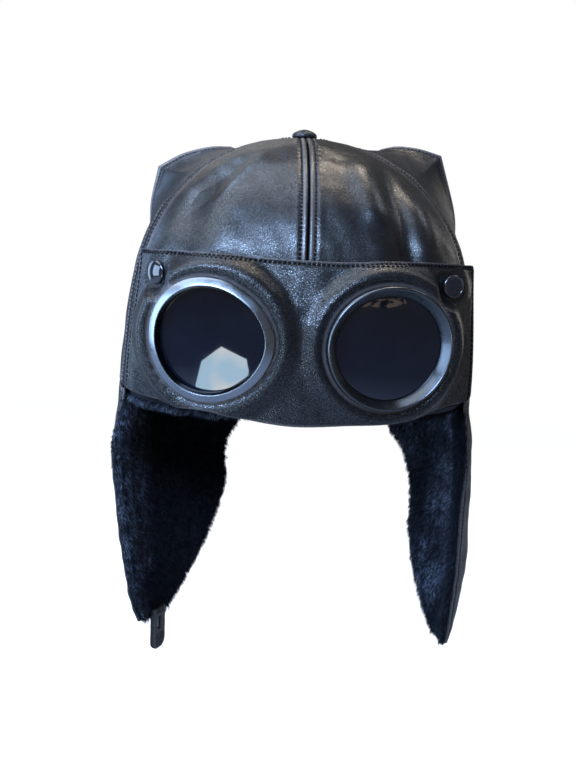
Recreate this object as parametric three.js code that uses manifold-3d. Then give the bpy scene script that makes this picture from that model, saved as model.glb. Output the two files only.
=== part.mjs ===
// Aviator hat of black leather with a goggle panel, fur-lined ear flaps and squared crown corners.
// Millimetres, +Z up, front towards -Y. The origin is the inside top of the crown, where a head would sit.
import * as THREE from 'three';
import { mergeVertices } from 'three/addons/utils/BufferGeometryUtils.js';
import Module from 'manifold-3d';

const wasm = await Module();
wasm.setup();

// Driving sizes
const LEATHER = 2.0;            // wall of every leather piece
const CLEAR = 0.3;              // gap between neighbouring pieces
const SEAM_CLEAR = 0.16;        // half of the gap along a crown seam
const RIM_Z = -148;             // lower edge of the crown wall
const BUTTON = { radius: 7.7, shank: 3.6, under: 2.6, side: 4.2, dome: 4 };
const RING_RADIUS = 33;         // outer radius of a goggle ring before its outline is shaped
const RING_NECK = 31.1;         // its neck through the leather
const RING_FLANGE = 1.3;        // thickness of its flange behind the leather
const RING_STEPS = 30;
const LENS_RADIUS = 28.2;
const LENS_RISE = 1.4;          // how far the middle of a lens stands before its edge
const SNAP_RADIUS = 6.35;
const SNAP_NECK = 2.1;
const SNAP_FLANGE = { radius: 5, thick: 0.7 };
const SNAP_DOME = { side: 0.9, rise: 1.7 };
const SNAP_STEPS = 16;
const FUR_DEPTH = 9;            // backing and locks together
const FUR_SHORT = 0.72;         // depth of every second row of locks, as a share
const FUR_EDGE = 0.45;          // depth at the flap's edges, as a share
const RIM_FUR_BOTTOM = -153;
const FLAP_FUR_TOP = -155.1;    // where the fur of the flaps takes over

// Crown walls, a row for each level from the rim to the button. The front seam parts the front panels
// from the side panels, and the edge parts the side panels from the back panels. The edge's row at
// CORNER is the sharp outer corner, and its top ridge comes down to the dome again at RIDGE_FOOT.
const CROWN_COLUMNS = ['level', 'front', 'seamX', 'seamY', 'square', 'back', 'edgeY',
  'leftX', 'leftZ', 'rightX', 'rightZ', 'pinch'];
const CROWN_ROWS = [
  [-148, 99, 101, -50, 2.6, 110, 8, 109, -148, 112, -148, 0],
  [-120, 102, 98.5, -54, 2.7, 115, 10, 106, -120, 109.5, -120, 0],
  [-92, 103, 95, -58, 2.8, 116, 12, 101.5, -92, 105, -92, 0],
  [-69, 101, 90, -60, 2.8, 113, 14, 96, -69, 100.5, -69, 1],
  [-52, 96, 84, -55, 2.7, 107, 15, 95, -54, 100.5, -54, 4],
  [-36, 87, 75, -45, 2.5, 97, 15, 95, -38, 99, -36, 10],
  [-21, 72, 62, -33, 2.35, 81, 15, 91, -17, 88.5, -2, 15],
  [-12, 58.5, 49, -25, 2.25, 66, 15, 76, -8.5, 74, 1.5, 12],
  [-5.8, 46, 37.5, -19, 2.15, 52, 15, 59, -3.6, 60, 2.3, 9],
  [-2.2, 35, 28, -14, 2.1, 39, 15, 46, -3, 50, 0, 5],
  [-0.6, 27, 21.5, -11, 2.05, 30, 13.5, 40, -6, 45, -7, 0],
  [1.3, 15, 12, -6, 2, 17, 8, 20, 0, 20, 0, 0],
  [2.2, 5.5, 4.6, -2.6, 2, 5.5, 2, 5, 2.2, 5, 2.2, 0],
];
const CORNER = 6;
const RIDGE_HEAD = 9;
const RIDGE_FOOT = 10;
const EDGE_BREAKS = [CORNER, RIDGE_HEAD, RIDGE_FOOT];
const ROW_STEPS = [1, 1, 2, 2, 2, 2, 2, 2, 1, 1, 1, 1];
const PANEL_STEPS = { front: 7, side: 5, back: 7 };
const HOLLOW_CENTRE = new THREE.Vector3(0, 15, -60);
const FRONT_ARC = 1.25;         // radians over which a front panel's columns are spread

// How the side and back panels leave their seams and edges, as shares of the width they cross
const SIDE_LEAVE = 0.27;
const SIDE_RISE = 0.12;
const SIDE_REACH = 0.4;
const BACK_REACH = 0.55;
const BACK_TURN = 0.45;
const PINCHED = { full: 15, side: 13, back: 14 };   // pinch of a full corner, and its reach in mm

// Folds of the front panels: a line in front view, its half width, and how far the leather sinks (+)
// or swells (-)
const FOLD_COLUMNS = ['topX', 'topZ', 'bottomX', 'bottomZ', 'width', 'sink'];
const FOLD_ROWS = [
  [-55, -26, -67, -66, 8, 2.0],
  [-38, -22, -48, -60, 10, -1.2],
  [43, -14, 55, -68, 6, 3.0],
  [31, -12, 36, -40, 7, -1.6],
  [60, -30, 70, -66, 7, -1.8],
];
const FOLD_FADE = { pace: 2.5, before: 0.35, past: 1.45 };   // in shares of a fold's height

// Goggle panel, a row for each station from its left end to its right end
const PANEL_COLUMNS = ['topX', 'lowX', 'topY', 'midY', 'lowY', 'topZ', 'lowZ'];
const PANEL_ROWS = [
  [-90.5, -97.5, -67, -71, -66, -66.5, -145],
  [-84, -91, -75.5, -82, -76.5, -66.6, -146],
  [-74, -80, -86, -92.5, -86, -66.4, -147],
  [-56, -66, -97, -103, -97, -66.4, -147.5],
  [-38, -48, -101.5, -107, -103, -67.2, -148.5],
  [-20, -32, -103.4, -113.5, -108, -67.8, -152],
  [0, -6, -103.9, -115.5, -110.5, -68.2, -155],
  [20, 20, -103.4, -114, -110, -68.3, -154],
  [40, 45, -101.6, -107, -105.5, -67.2, -152],
  [58, 60, -97.5, -103, -100.5, -66.8, -149.5],
  [74, 74, -89, -95, -91, -67.2, -147],
  [86.5, 86.5, -79, -84.5, -81, -67.8, -145],
  [94, 97.5, -71, -75, -73, -68, -143.5],
];
const PANEL_MID_Z = -108;
const PANEL_CORNER = 4;         // radius of its corners
const PANEL_HEIGHT = 80;
const PANEL_LENGTH = 190;
const PANEL_STEPS_ACROSS = 34;
const PANEL_STEPS_DOWN = 13;

// Outline of the goggle rings: radius at each angle from the right side upwards, seen from the front
const RING_COLUMNS = ['angle', 'left', 'right'];
const RING_ROWS = [
  [0, 33.3, 34.3],
  [30, 31.9, 35],
  [60, 30.9, 34.1],
  [90, 32.2, 32.9],
  [120, 34.2, 32.9],
  [150, 34.6, 33.6],
  [180, 33.4, 33.9],
  [210, 32.7, 33],
  [240, 32.8, 32.2],
  [270, 32.2, 32.2],
  [300, 31.6, 32.3],
  [330, 32.2, 33],
];

// Seats on the panel: centre, turn to the side, and the radii in which the leather is flat and rejoins
const GOGGLES = [
  { side: 'left', centre: [-47.8, -109.6, -111.2], turn: -11, flat: 38, fade: 47 },
  { side: 'right', centre: [43.7, -109.6, -112.1], turn: 10, flat: 38, fade: 47 },
];
const SNAPS = [
  { side: 'left', centre: [-79.5, -84.5, -78.8], turn: -43, flat: 8, fade: 14 },
  { side: 'right', centre: [79.5, -86.5, -79.4], turn: 20, flat: 8, fade: 14 },
];

// Ear flaps, a row for each level below the rim: front edge, the pull of the bulge, rear edge
const FLAP_COLUMNS = ['z', 'frontX', 'frontY', 'pullX', 'pullY', 'rearX', 'rearY'];
const FLAP_ROWS = {
  left: [
    [-190, -110.2, -32, -120.5, 45, -36, 90],
    [-203, -110, -31, -119.5, 38, -45, 86],
    [-220, -108.6, -28, -116, 30, -47.5, 80],
    [-236, -107.6, -25, -113.5, 25, -46, 74],
    [-262, -104.9, -20, -109.5, 20, -54, 63],
    [-290, -101.5, -13, -106.5, 20, -66, 53],
    [-306, -98.5, -7, -107, 20, -75, 44],
    [-316, -95.8, 0, -104.5, 20, -82.3, 37],
  ],
  right: [
    [-190, 109, -32, 138, 30, 77, 76],
    [-203, 109, -31, 139, 26, 88, 72],
    [-216, 109, -29, 140, 22, 92, 68],
    [-230, 109, -28, 140, 20, 95, 64],
    [-262, 110, -24, 141, 20, 95, 60],
    [-286, 111, -15, 140, 22, 98, 56],
    [-310, 112.5, -4, 132, 22, 104, 47],
    [-331, 115, 12, 122, 24, 112, 34],
  ],
};
const FLAP_REAR = { left: 28, right: 66 };   // how far from the back seam the flap ends on the rim
const FLAP_BLEND = 42;          // height over which a flap leaves the rim's curve
const FLAP_STEPS_ACROSS = 9;
const FLAP_STEPS_DOWN = 12;
const TAB = {
  width: 15, length: 30, thick: 3.6, round: 6, turn: 62, top: [-85, 20, -313.5],
  slotWidth: 3, slotTop: 7, slotLow: 15,
};

// Fur round the rim: each level's clearance from the crown's inner face, and its depth
const RIM_FUR_COLUMNS = ['z', 'clear', 'depth'];
const RIM_FUR_ROWS = [
  [-126, 0.4, 4],
  [-136, 0.4, 8],
  [-148, 1.4, 9.5],
  [-151.5, 2.6, 7],
];

// Small maths
const lerp = (a, b, t) => a + (b - a) * t;
const clamp = (t) => Math.min(1, Math.max(0, t));
const smooth = (t) => { const c = clamp(t); return c * c * (3 - 2 * c); };
const radians = (degrees) => degrees * Math.PI / 180;

function tableOf(columns, rows) {
  return rows.map((row) => Object.fromEntries(columns.map((name, k) => [name, row[k]])));
}

// Value of one column at a fractional row, along a smooth curve that turns sharply only at the breaks
function column(table, name, s, breaks = []) {
  const last = table.length - 1;
  const i = Math.min(last - 1, Math.max(0, Math.floor(s)));
  const t = s - i;
  const b = table[i][name];
  const c = table[i + 1][name];
  const a = i === 0 || breaks.includes(i) ? 2 * b - c : table[i - 1][name];
  const d = i + 1 === last || breaks.includes(i + 1) ? 2 * c - b : table[i + 2][name];
  const m0 = (c - a) / 2;
  const m1 = (d - b) / 2;
  return (2 * t ** 3 - 3 * t ** 2 + 1) * b + (t ** 3 - 2 * t ** 2 + t) * m0
    + (-2 * t ** 3 + 3 * t ** 2) * c + (t ** 3 - t ** 2) * m1;
}

// Fractional row at which a falling or rising column reaches a value
function rowAt(table, name, value) {
  const rising = table[table.length - 1][name] > table[0][name];
  for (let i = 0; i < table.length - 1; i += 1) {
    const [p, q] = [table[i][name], table[i + 1][name]];
    if (rising ? value <= q : value >= q) return i + clamp((value - p) / (q - p));
  }
  return table.length - 1;
}

const bezier = (points, t) => {
  const u = 1 - t;
  const weights = points.length === 3
    ? [u * u, 2 * u * t, t * t]
    : [u ** 3, 3 * u * u * t, 3 * u * t * t, t ** 3];
  return points.reduce((sum, p, k) => sum.addScaledVector(p, weights[k]), new THREE.Vector3());
};

// Crown surface
const CROWN = tableOf(CROWN_COLUMNS, CROWN_ROWS);
const FOLDS = tableOf(FOLD_COLUMNS, FOLD_ROWS);

function crownStation(side, s) {
  const of = (name, breaks) => column(CROWN, name, s, breaks);
  const sign = side === 'left' ? -1 : 1;
  const level = of('level');
  return {
    sign,
    level,
    front: of('front'),
    square: of('square'),
    seam: new THREE.Vector3(sign * of('seamX'), of('seamY'), level),
    edge: new THREE.Vector3(sign * of(`${side}X`, EDGE_BREAKS), of('edgeY', EDGE_BREAKS),
      of(`${side}Z`, EDGE_BREAKS)),
    back: new THREE.Vector3(0, of('back'), level),
    pinch: Math.max(0, of('pinch', EDGE_BREAKS)),
  };
}

function frontSection(station, x) {
  const { front, square, seam } = station;
  const reach = Math.abs(seam.x) / (1 - (Math.abs(seam.y) / front) ** square) ** (1 / square);
  const rest = Math.max(1e-6, 1 - (Math.abs(x) / reach) ** square);
  const slope = (front / reach) * (Math.abs(x) / reach) ** (square - 1) * rest ** (1 / square - 1);
  return { y: -front * rest ** (1 / square), slope };
}

function foldDepth(x, z) {
  return FOLDS.reduce((sum, fold) => {
    const along = (fold.topZ - z) / (fold.topZ - fold.bottomZ);
    const middle = lerp(fold.topX, fold.bottomX, along);
    const across = (x - middle) / fold.width;
    const { pace, before, past } = FOLD_FADE;
    const fade = smooth(along * pace + before) * smooth((past - along) * pace);
    return sum + fold.sink * Math.exp(-across * across) * fade;
  }, 0);
}

function crownPoint(side, panel, s, v) {
  const station = crownStation(side, s);
  const { seam, edge, back, sign, pinch } = station;
  const inward = HOLLOW_CENTRE.clone().sub(edge).normalize();
  const held = clamp(pinch / PINCHED.full);
  if (panel === 'front') {
    const x = seam.x * Math.sin(v * FRONT_ARC) / Math.sin(FRONT_ARC);
    const y = frontSection(station, x).y + foldDepth(x, station.level);
    return new THREE.Vector3(x, y, station.level);
  }
  if (panel === 'side') {
    const { slope } = frontSection(station, seam.x);
    const length = seam.distanceTo(edge);
    const leave = new THREE.Vector3(sign, slope, 0).normalize().multiplyScalar(SIDE_LEAVE * length);
    const reach = lerp(SIDE_REACH * (edge.y - seam.y), PINCHED.side, held);
    const near = seam.clone().add(leave).setZ(lerp(seam.z, edge.z, SIDE_RISE));
    const far = edge.clone().addScaledVector(inward, pinch).add(new THREE.Vector3(0, -reach, 0));
    return bezier([seam, near, far, edge], v);
  }
  const reach = lerp(BACK_REACH * (back.y - edge.y), PINCHED.back, held);
  const near = edge.clone().addScaledVector(inward, pinch).add(new THREE.Vector3(0, reach, 0));
  const farX = BACK_REACH * lerp(edge.x, sign * station.front, BACK_TURN);
  const far = new THREE.Vector3(farX, back.y, back.z);
  return bezier([edge, near, far, back], v);
}

// The crown's whole grid, round from the front seam by the left side and back again
function crownRows() {
  const list = [];
  ROW_STEPS.forEach((count, i) => {
    for (let k = 0; k < count; k += 1) list.push(i + k / count);
  });
  list.push(CROWN.length - 1);
  return list;
}

function crownGrid() {
  const plan = [];
  for (const [side, order] of [['left', ['front', 'side', 'back']], ['right', ['back', 'side', 'front']]]) {
    for (const panel of order) {
      const count = PANEL_STEPS[panel];
      for (let k = 0; k < count; k += 1) {
        plan.push({ side, panel, v: side === 'left' ? k / count : 1 - k / count, first: k === 0 });
      }
    }
  }
  const outer = crownRows().map((s) => plan.map(({ side, panel, v }) => crownPoint(side, panel, s, v)));
  return { outer, plan };
}

// Normals of a grid that closes on itself sideways (or not), pointing away from the given inside
function gridNormals(rows, closed) {
  const normals = rows.map((row) => row.map(() => new THREE.Vector3()));
  const across = rows[0].length;
  for (let i = 0; i < rows.length - 1; i += 1) {
    for (let j = 0; j < across - (closed ? 0 : 1); j += 1) {
      const k = (j + 1) % across;
      const [a, b, c, d] = [rows[i][j], rows[i][k], rows[i + 1][k], rows[i + 1][j]];
      const face = c.clone().sub(a).cross(d.clone().sub(b)).normalize();
      for (const [r, q] of [[i, j], [i, k], [i + 1, k], [i + 1, j]]) normals[r][q].add(face);
    }
  }
  normals.forEach((row) => row.forEach((n) => n.normalize()));
  return normals;
}

function offsetGrid(rows, normals, distance) {
  return rows.map((row, i) => row.map((p, j) => {
    const d = typeof distance === 'function' ? distance(i, j) : distance;
    return p.clone().addScaledVector(normals[i][j], d);
  }));
}

// Solids from grids
function geometryOf(points, faces) {
  const geometry = new THREE.BufferGeometry();
  const flat = points.flatMap((p) => [p.x, p.y, p.z]);
  geometry.setAttribute('position', new THREE.Float32BufferAttribute(flat, 3));
  geometry.setIndex(faces.flat());
  return turnedOut(geometry);
}

function volumeOf(geometry) {
  const p = geometry.getAttribute('position');
  const index = geometry.getIndex();
  const [a, b, c] = [new THREE.Vector3(), new THREE.Vector3(), new THREE.Vector3()];
  let sum = 0;
  for (let k = 0; k < index.count; k += 3) {
    a.fromBufferAttribute(p, index.getX(k));
    b.fromBufferAttribute(p, index.getX(k + 1));
    c.fromBufferAttribute(p, index.getX(k + 2));
    sum += a.dot(b.cross(c)) / 6;
  }
  return sum;
}

function turnedOut(geometry) {
  if (volumeOf(geometry) < 0) {
    const index = geometry.getIndex();
    for (let k = 0; k < index.count; k += 3) {
      const keep = index.getX(k + 1);
      index.setX(k + 1, index.getX(k + 2));
      index.setX(k + 2, keep);
    }
  }
  return geometry;
}

// A wall between two grids of the same size, closed along its four edges
function wallBetween(outer, inner) {
  const rows = outer.length;
  const across = outer[0].length;
  const at = (layer, i, j) => layer * rows * across + i * across + j;
  const faces = [];
  const quad = (a, b, c, d) => faces.push([a, b, c], [a, c, d]);
  for (let i = 0; i < rows - 1; i += 1) {
    for (let j = 0; j < across - 1; j += 1) {
      quad(at(0, i, j), at(0, i, j + 1), at(0, i + 1, j + 1), at(0, i + 1, j));
      quad(at(1, i, j), at(1, i + 1, j), at(1, i + 1, j + 1), at(1, i, j + 1));
    }
  }
  for (let i = 0; i < rows - 1; i += 1) {
    quad(at(0, i + 1, 0), at(1, i + 1, 0), at(1, i, 0), at(0, i, 0));
    quad(at(0, i, across - 1), at(1, i, across - 1), at(1, i + 1, across - 1), at(0, i + 1, across - 1));
  }
  for (let j = 0; j < across - 1; j += 1) {
    quad(at(0, 0, j), at(1, 0, j), at(1, 0, j + 1), at(0, 0, j + 1));
    quad(at(0, rows - 1, j + 1), at(1, rows - 1, j + 1), at(1, rows - 1, j), at(0, rows - 1, j));
  }
  return geometryOf([...outer.flat(), ...inner.flat()], faces);
}

// A ring of closed sections, each with the same number of points
function ringOfSections(sections) {
  const count = sections[0].length;
  const faces = [];
  sections.forEach((_, k) => {
    const next = (k + 1) % sections.length;
    for (let m = 0; m < count; m += 1) {
      const n = (m + 1) % count;
      faces.push([k * count + m, next * count + m, next * count + n],
        [k * count + m, next * count + n, k * count + n]);
    }
  });
  return geometryOf(sections.flat(), faces);
}

function solidOf(geometry) {
  const bare = new THREE.BufferGeometry();
  bare.setAttribute('position', geometry.getAttribute('position').clone());
  if (geometry.getIndex()) bare.setIndex(geometry.getIndex().clone());
  const merged = mergeVertices(bare, 1e-4);
  return new wasm.Manifold(new wasm.Mesh({
    numProp: 3,
    vertProperties: Float32Array.from(merged.getAttribute('position').array),
    triVerts: Uint32Array.from(merged.getIndex().array),
  }));
}

function geometryFrom(solid) {
  const mesh = solid.getMesh();
  const geometry = new THREE.BufferGeometry();
  geometry.setAttribute('position', new THREE.Float32BufferAttribute(mesh.vertProperties, 3));
  geometry.setIndex(Array.from(mesh.triVerts));
  return geometry;
}

function turnedProfile(points, segments) {
  return new THREE.LatheGeometry(points.map(([r, h]) => new THREE.Vector2(r, h)), segments);
}

// Materials
function material(color, roughness, metalness) {
  return new THREE.MeshStandardMaterial({ color, roughness, metalness });
}
const LOOKS = {
  leather: () => material('#1d1f24', 0.42, 0),
  smoothLeather: () => material('#23252b', 0.5, 0),
  fur: () => material('#0d0f16', 0.95, 0),
  ring: () => material('#2a2f37', 0.18, 0.9),
  lens: () => material('#05070c', 0.05, 0.2),
  button: () => material('#171b22', 0.25, 0),
};

const hat = new THREE.Group();
function addPiece(name, geometry, look) {
  geometry.computeVertexNormals();
  const mesh = new THREE.Mesh(geometry, look());
  mesh.name = name;
  hat.add(mesh);
  return mesh;
}

// Crown: two front, two side and two back panels, sewn edge to edge
function crownWall() {
  const { outer, plan } = crownGrid();
  const normals = gridNormals(outer, true);
  const outward = normals[3][0].y < 0 ? 1 : -1;
  const inner = offsetGrid(outer, normals, -LEATHER * outward);
  inner[0].forEach((p) => p.setZ(RIM_Z));
  return { outer, inner, plan };
}

function addCrown() {
  const { outer, inner, plan } = crownWall();
  const across = plan.length;
  const starts = plan.map((c, j) => (c.first ? j : -1)).filter((j) => j >= 0);
  starts.forEach((start, n) => {
    const { side, panel } = plan[start];
    const count = PANEL_STEPS[panel];
    const cut = (grid) => grid.map((row) => {
      const part = [];
      for (let k = 0; k <= count; k += 1) part.push(row[(start + k) % across].clone());
      const inset = (p, q) => p.add(q.clone().sub(p).setLength(Math.min(SEAM_CLEAR, p.distanceTo(q) / 3)));
      inset(part[0], part[1]);
      inset(part[count], part[count - 1]);
      return part;
    });
    addPiece(`crown_${panel}_${side}`, wallBetween(cut(outer), cut(inner)),
      panel === 'front' ? LOOKS.leather : LOOKS.smoothLeather);
  });
}

// Covered button on top, its shank filling the opening where the panels meet
function addButton() {
  const dome = [];
  for (let k = 0; k <= 5; k += 1) {
    const a = radians(90 - 18 * k);
    dome.push([BUTTON.radius * Math.cos(a), BUTTON.side + BUTTON.dome * Math.sin(a)]);
  }
  const { radius, shank, under } = BUTTON;
  const profile = [[0, 0], [shank, 0], [shank, under], [radius - 0.9, under], ...dome.reverse()];
  const geometry = turnedProfile(profile, 20);
  geometry.rotateX(Math.PI / 2);
  addPiece('top_button', turnedOut(indexed(geometry)), LOOKS.button);
}

function indexed(geometry) {
  const bare = new THREE.BufferGeometry();
  bare.setAttribute('position', geometry.getAttribute('position'));
  if (geometry.getIndex()) bare.setIndex(geometry.getIndex());
  return mergeVertices(bare, 1e-4);
}

// Goggle panel
const PANEL = tableOf(PANEL_COLUMNS, PANEL_ROWS);

function seatFrame({ centre, turn }) {
  const origin = new THREE.Vector3(...centre);
  const out = new THREE.Vector3(Math.sin(radians(turn)), -Math.cos(radians(turn)), 0);
  return { origin, out };
}

function panelPoint(u, w) {
  const s = u * (PANEL.length - 1);
  const of = (name) => column(PANEL, name, s);
  const [top, bottom] = [of('topZ'), of('lowZ')];
  const z = lerp(top, bottom, w);
  const x = lerp(of('topX'), of('lowX'), smooth(w));
  const middle = (top - PANEL_MID_Z) / (top - bottom);
  const y = w < middle
    ? lerp(of('topY'), of('midY'), Math.sin(w / middle * Math.PI / 2))
    : lerp(of('midY'), of('lowY'), 1 - Math.cos((w - middle) / (1 - middle) * Math.PI / 2));
  const point = new THREE.Vector3(x, y, z);
  for (const seat of [...GOGGLES, ...SNAPS]) {
    const { origin, out } = seatFrame(seat);
    const planeY = origin.y - (x - origin.x) * out.x / out.y;
    const distance = Math.hypot((x - origin.x) / out.y, z - origin.z);
    const pull = 1 - smooth((distance - seat.flat) / (seat.fade - seat.flat));
    point.y = lerp(point.y, planeY, pull);
  }
  return point;
}

function panelGrid() {
  const rows = [];
  for (let i = 0; i <= PANEL_STEPS_DOWN; i += 1) {
    const w = i / PANEL_STEPS_DOWN;
    const fromEdge = Math.min(w, 1 - w) * PANEL_HEIGHT;
    const cut = fromEdge < PANEL_CORNER
      ? PANEL_CORNER - Math.sqrt(PANEL_CORNER ** 2 - (PANEL_CORNER - fromEdge) ** 2) : 0;
    const inset = cut / PANEL_LENGTH;
    const row = [];
    for (let j = 0; j <= PANEL_STEPS_ACROSS; j += 1) {
      row.push(panelPoint(lerp(inset, 1 - inset, j / PANEL_STEPS_ACROSS), w));
    }
    rows.push(row);
  }
  return rows;
}

// Places what is turned about +Y on its seat, with +Y out of the leather and +Z up
function seated(geometry, { origin, out }) {
  const up = new THREE.Vector3(0, 0, 1);
  const across = new THREE.Vector3().crossVectors(out, up);
  return geometry.applyMatrix4(new THREE.Matrix4().makeBasis(across, out, up).setPosition(origin));
}

const RING = tableOf(RING_COLUMNS, RING_ROWS);

// Stretches a round geometry, turned about +Y, to the outline of a goggle ring
function ringShaped(geometry, side) {
  const closed = [RING[RING.length - 1], ...RING, RING[0], RING[1]];
  const p = geometry.getAttribute('position');
  for (let k = 0; k < p.count; k += 1) {
    const angle = Math.atan2(p.getZ(k), -p.getX(k)) / (2 * Math.PI);
    const stretch = column(closed, side, 1 + (angle + 1) % 1 * RING.length) / RING_RADIUS;
    p.setX(k, p.getX(k) * stretch);
    p.setZ(k, p.getZ(k) * stretch);
  }
  return geometry;
}

function addGogglePanel() {
  const outer = panelGrid();
  const normals = gridNormals(outer, false);
  const facing = normals[1][20].y < 0 ? 1 : -1;
  let solid = solidOf(wallBetween(outer, offsetGrid(outer, normals, -LEATHER * facing)));
  const [back, front] = [-LEATHER - CLEAR / 2, CLEAR / 2];
  const room = (neck, cap, segments) => turnedOut(indexed(turnedProfile([[0, -12], [cap, -12], [cap, back],
    [neck, back], [neck, front], [cap, front], [cap, 10], [0, 10]], segments)));
  for (const goggle of GOGGLES) {
    const hole = ringShaped(room(RING_NECK + CLEAR, RING_RADIUS + 1, RING_STEPS), goggle.side);
    solid = solid.subtract(solidOf(seated(hole, seatFrame(goggle))));
  }
  for (const snap of SNAPS) {
    const hole = room(SNAP_NECK + CLEAR, SNAP_RADIUS + 1, SNAP_STEPS);
    solid = solid.subtract(solidOf(seated(hole, seatFrame(snap))));
  }
  addPiece('goggle_panel', geometryFrom(solid), LOOKS.leather);
}

// Goggle rings: a lip in front of the leather, a neck through it and a flange behind it
function addGoggles() {
  const behind = -LEATHER - CLEAR;
  const rear = behind - RING_FLANGE;
  const ring = [
    [LENS_RADIUS - 1.2, rear], [RING_RADIUS + 0.6, rear], [RING_RADIUS + 0.6, behind],
    [RING_NECK, behind], [RING_NECK, CLEAR], [RING_RADIUS, CLEAR], [RING_RADIUS, 3.2],
    [RING_RADIUS - 1.3, 5.2], [RING_RADIUS - 3.0, 5.0], [LENS_RADIUS - 0.9, 0.6],
    [LENS_RADIUS - 0.9, -0.2], [LENS_RADIUS + CLEAR, -0.2], [LENS_RADIUS + CLEAR, -2.6],
    [LENS_RADIUS - 1.2, -2.6], [LENS_RADIUS - 1.2, rear],
  ];
  const lens = [[0, -2.3], [LENS_RADIUS, -2.3], [LENS_RADIUS, -0.5], [LENS_RADIUS - 1.3, -0.5]];
  for (let k = 1; k <= 2; k += 1) {
    const r = (LENS_RADIUS - 1.3) * (1 - k / 2);
    lens.push([r, -0.5 + LENS_RISE * (1 - (r / LENS_RADIUS) ** 2)]);
  }
  for (const goggle of GOGGLES) {
    const turned = (profile) => turnedOut(indexed(turnedProfile(profile, RING_STEPS)));
    const shaped = (profile) => ringShaped(turned(profile), goggle.side);
    addPiece(`goggle_ring_${goggle.side}`, seated(shaped(ring), seatFrame(goggle)), LOOKS.ring);
    addPiece(`goggle_lens_${goggle.side}`, seated(shaped(lens), seatFrame(goggle)), LOOKS.lens);
  }
}

function addSnaps() {
  for (const snap of SNAPS) {
    const cap = [];
    for (let k = 0; k <= 3; k += 1) {
      const a = radians(30 * k);
      cap.push([SNAP_RADIUS * Math.cos(a), SNAP_DOME.side + SNAP_DOME.rise * Math.sin(a)]);
    }
    cap[3][0] = 0;
    const behind = -LEATHER - CLEAR;
    const { radius, thick } = SNAP_FLANGE;
    const profile = [[0, behind - thick], [radius, behind - thick], [radius, behind], [SNAP_NECK, behind],
      [SNAP_NECK, CLEAR], [SNAP_RADIUS, CLEAR], ...cap];
    const turned = turnedOut(indexed(turnedProfile(profile, SNAP_STEPS)));
    addPiece(`snap_${snap.side}`, seated(turned, seatFrame(snap)), LOOKS.button);
  }
}

// Ear flaps
function rimCurve(side, distance) {
  const points = [];
  for (const panel of ['side', 'back']) {
    for (let k = 0; k <= 20; k += 1) points.push(crownPoint(side, panel, 0, k / 20));
  }
  let left = distance;
  for (let k = 1; k < points.length; k += 1) {
    const step = points[k - 1].distanceTo(points[k]);
    if (left <= step) return points[k - 1].clone().lerp(points[k], step ? left / step : 0);
    left -= step;
  }
  return points[points.length - 1].clone();
}

function rimSpan(side) {
  let distance = 0;
  while (distance < 400) {
    const point = rimCurve(side, distance);
    if (point.y > 40 && Math.abs(point.x) < FLAP_REAR[side]) return distance;
    distance += 1;
  }
  return distance;
}

function flapSection(side, z, p) {
  const table = tableOf(FLAP_COLUMNS, FLAP_ROWS[side]);
  const s = rowAt(table, 'z', z);
  const of = (name) => column(table, name, s);
  return bezier([
    new THREE.Vector3(of('frontX'), of('frontY'), z),
    new THREE.Vector3(of('pullX'), of('pullY'), z),
    new THREE.Vector3(of('rearX'), of('rearY'), z),
  ], p);
}

function flapPoint(side, p, z, span) {
  const onRim = rimCurve(side, p * span).setZ(z);
  const free = flapSection(side, z, p);
  return onRim.lerp(free, smooth((RIM_Z - CLEAR - z) / FLAP_BLEND));
}

// Outer and inner face of a flap's leather, and the direction that leads out of it
function flapWall(side) {
  const span = rimSpan(side);
  const top = RIM_Z - CLEAR;
  const tip = FLAP_ROWS[side][FLAP_ROWS[side].length - 1][0];
  const levels = [top];
  for (let i = 0; i < FLAP_STEPS_DOWN; i += 1) {
    levels.push(lerp(FLAP_FUR_TOP, tip, i / (FLAP_STEPS_DOWN - 1)));
  }
  const outer = levels.map((z) => {
    const row = [];
    for (let j = 0; j <= FLAP_STEPS_ACROSS; j += 1) row.push(flapPoint(side, j / FLAP_STEPS_ACROSS, z, span));
    return row;
  });
  const normals = gridNormals(outer, false);
  const outward = normals[2][4].x * (side === 'left' ? -1 : 1) > 0 ? 1 : -1;
  const behind = (distance) => {
    const depth = typeof distance === 'function' ? (i, j) => -distance(i, j) * outward : -distance * outward;
    const grid = offsetGrid(outer, normals, depth);
    grid[0].forEach((p) => p.setZ(top));
    return grid;
  };
  return { outer, behind };
}

function addFlaps() {
  for (const side of ['left', 'right']) {
    const { outer, behind } = flapWall(side);
    addPiece(`ear_flap_${side}`, wallBetween(outer, behind(LEATHER)), LOOKS.smoothLeather);
    addFlapFur(side, behind);
  }
}

// Fur of a flap: a backing with locks in overlapping rows, from just under the rim's own fur
function addFlapFur(side, behind) {
  const lockDepth = (i, j) => {
    const row = i % 2 === 0 ? 1 : FUR_SHORT;
    const tuft = 1 + 0.08 * Math.sin(j * 2.4 + i * 1.7);
    const fromEdge = Math.min(j, FLAP_STEPS_ACROSS - j, FLAP_STEPS_DOWN - i);
    return FUR_DEPTH * row * tuft * (fromEdge < 1 ? FUR_EDGE : 1);
  };
  const back = behind(LEATHER + CLEAR).slice(1);
  const face = behind((i, j) => LEATHER + CLEAR + lockDepth(i, j)).slice(1);
  addPiece(`flap_fur_${side}`, wallBetween(back, face), LOOKS.fur);
}

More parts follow.
